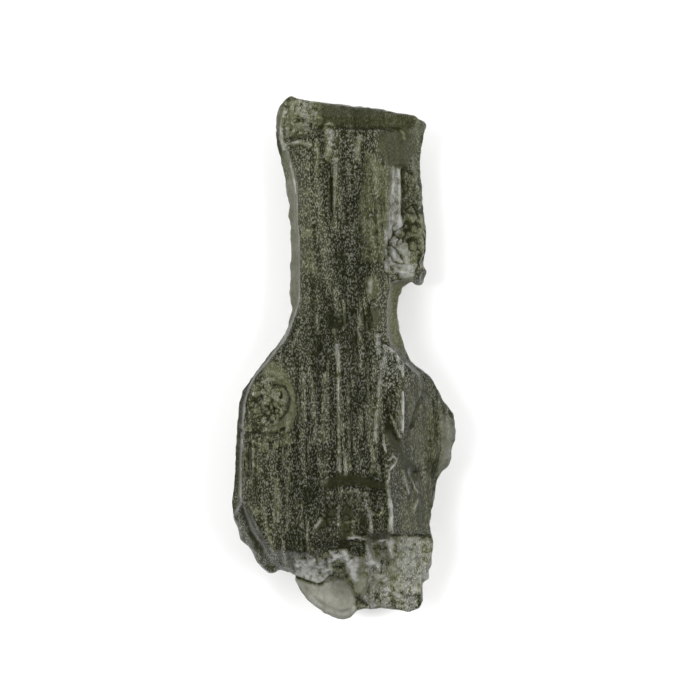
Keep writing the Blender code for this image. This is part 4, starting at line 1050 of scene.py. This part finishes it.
def glass_tint(tree, glint_dots):
    """The tint of the glass: by its paleness and greyness, with glints painted in as pale dots where it is
    frosted.
    """
    ground = add_node(tree, "ShaderNodeValToRGB", {"Fac": skin_value(tree, "pale")})
    stops = ground.color_ramp.elements
    stops[0].color = DEEP_TINT
    stops[1].color = PALE_TINT
    stops.new(OLIVE_AT).color = OLIVE_TINT
    stops.new(GREY_AT).color = GREY_TINT
    frosted = tint_between(tree, DEEP_TINT, FROSTED_TINT, skin_value(tree, "pale"))
    body = tint_between(tree, ground.outputs["Color"], frosted, skin_value(tree, "grey"))
    # Painted glints: pale dots where the skin is frosted.
    shares = {0: glint_dots, 1: skin_value(tree, "frost", 0.0, GLINT_DOT_STRENGTH)}
    glint_share = add_node(tree, "ShaderNodeMath", shares, operation="MULTIPLY")
    return tint_between(tree, body, GLINT_DOT_TINT, glint_share.outputs["Value"])


def moldavite_glass():
    """Olive-green glass under a skin that is speckled with painted glints, hazy and tinted where the mesh
    says so.
    """
    material = bpy.data.materials.new("moldavite_glass")
    material.use_nodes = True
    tree = material.node_tree
    shader = tree.nodes["Principled BSDF"]
    shader.inputs["Transmission Weight"].default_value = GLASS_TRANSMISSION
    shader.inputs["IOR"].default_value = GLASS_IOR
    shader.inputs["Specular Tint"].default_value = GLEAM_TINT
    depths = {"Color": ABSORPTION_TINT, "Density": ABSORPTION_DENSITY}
    volume = add_node(tree, "ShaderNodeVolumeAbsorption", depths)
    tree.links.new(volume.outputs["Volume"], tree.nodes["Material Output"].inputs["Volume"])

    place = add_node(tree, "ShaderNodeTexCoord").outputs["Object"]
    flow = add_node(tree, "ShaderNodeMapping", {"Vector": place, "Scale": SPECKLE_STRETCH})
    cells = {"Vector": flow.outputs["Vector"], "Scale": SPECKLE_SCALE, "Detail": SPECKLE_DETAIL}
    grain = add_node(tree, "ShaderNodeTexNoise", cells).outputs["Fac"]
    span = {"Value": grain, "From Min": SPECKLE_EDGE[0], "From Max": SPECKLE_EDGE[1]}
    glint_dots = add_node(tree, "ShaderNodeMapRange", span, interpolation_type="SMOOTHSTEP")
    bumps = {"Distance": BUMP_DISTANCE, "Strength": skin_value(tree, "frost"), "Height": grain}
    bump = add_node(tree, "ShaderNodeBump", bumps)
    tree.links.new(glass_tint(tree, glint_dots.outputs["Result"]), shader.inputs["Base Color"])
    tree.links.new(skin_value(tree, "haze", *ROUGHNESS_SPAN), shader.inputs["Roughness"])
    tree.links.new(bump.outputs["Normal"], shader.inputs["Normal"])
    return material


def make_stone():
    """The stone as one closed mesh with its skin carved."""
    outline = closed_outline()
    slab = outline_slab(outline)
    mesh = settled_mesh(slab, "moldavite_stone")
    bpy.data.objects.remove(slab, do_unlink=True)
    mesh = worked(mesh, "WELD", merge_threshold=WELD_REACH * MM)
    mesh = worked(mesh, "REMESH", mode="VOXEL", voxel_size=FORM_VOXEL * MM, adaptivity=0.0)
    shape_stone(mesh, outline)
    mesh = worked(mesh, "REMESH", mode="VOXEL", voxel_size=SKIN_VOXEL * MM, adaptivity=0.0)
    underside = np.nonzero(vertex_facing(mesh)[:, 2] < UNDERSIDE_LEAN)[0]
    mesh = worked(mesh, "DECIMATE", only=underside, ratio=UNDERSIDE_SHARE)
    carve_skin(mesh, outline)
    fit_to_solid(mesh)
    mesh.materials.clear()
    mesh.materials.append(moldavite_glass())
    mesh.polygons.foreach_set("use_smooth", [True] * len(mesh.polygons))
    stone = bpy.data.objects.new("moldavite_stone", mesh)
    bpy.context.scene.collection.objects.link(stone)
    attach(stone, "root")
    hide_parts("moldavite")


def make_floor():
    """A plain pale floor under the stone."""
    bpy.ops.mesh.primitive_plane_add(size=FLOOR_SIZE, location=(0.0, 0.0, -FLOOR_DROP))
    floor = bpy.context.object
    floor.name = "floor"
    material = bpy.data.materials.new("floor_paper")
    material.use_nodes = True
    shader = material.node_tree.nodes["Principled BSDF"]
    shader.inputs["Base Color"].default_value = FLOOR_TINT
    shader.inputs["Roughness"].default_value = FLOOR_ROUGHNESS
    shader.inputs["Specular IOR Level"].default_value = 0.0
    floor.data.materials.append(material)


def soft_light(name, place, size, power):
    """A rectangular lamp that looks at the stone."""
    lamp = bpy.data.lights.new(name, "AREA")
    lamp.shape = "RECTANGLE"
    lamp.size, lamp.size_y = size
    lamp.energy = power
    thing = bpy.data.objects.new(name, lamp)
    thing.location = place
    thing.rotation_mode = "QUATERNION"
    thing.rotation_quaternion = (-mathutils.Vector(place)).to_track_quat("-Z", "Y")
    bpy.context.scene.collection.objects.link(thing)


def light_scene():
    """Soft boxes at both sides and past the top, thin strips for the gleams, and a dim even sky."""
    for name, (place, size, power) in LIGHTS.items():
        soft_light(name, place, size, power)
    world = bpy.data.worlds.new("studio")
    world.use_nodes = True
    sky = world.node_tree.nodes["Background"]
    sky.inputs["Color"].default_value = (1.0, 1.0, 1.0, 1.0)
    sky.inputs["Strength"].default_value = SKY_STRENGTH
    bpy.context.scene.world = world


def aim_camera():
    """A long lens straight above the stone, framed as the photograph."""
    camera = bpy.data.cameras.new("camera")
    camera.lens = CAMERA_LENS
    camera.sensor_width = CAMERA_SENSOR
    camera.clip_start, camera.clip_end = CAMERA_CLIP
    thing = bpy.data.objects.new("camera", camera)
    height = FRAME_WIDTH * CAMERA_LENS / CAMERA_SENSOR + RIM_HEIGHT
    thing.location = (FRAME_MIDDLE[0] * MM, FRAME_MIDDLE[1] * MM, height * MM)
    bpy.context.scene.collection.objects.link(thing)
    bpy.context.scene.camera = thing
    bpy.context.scene.view_settings.view_transform = "Standard"


make_stone()
make_floor()
light_scene()
aim_camera()
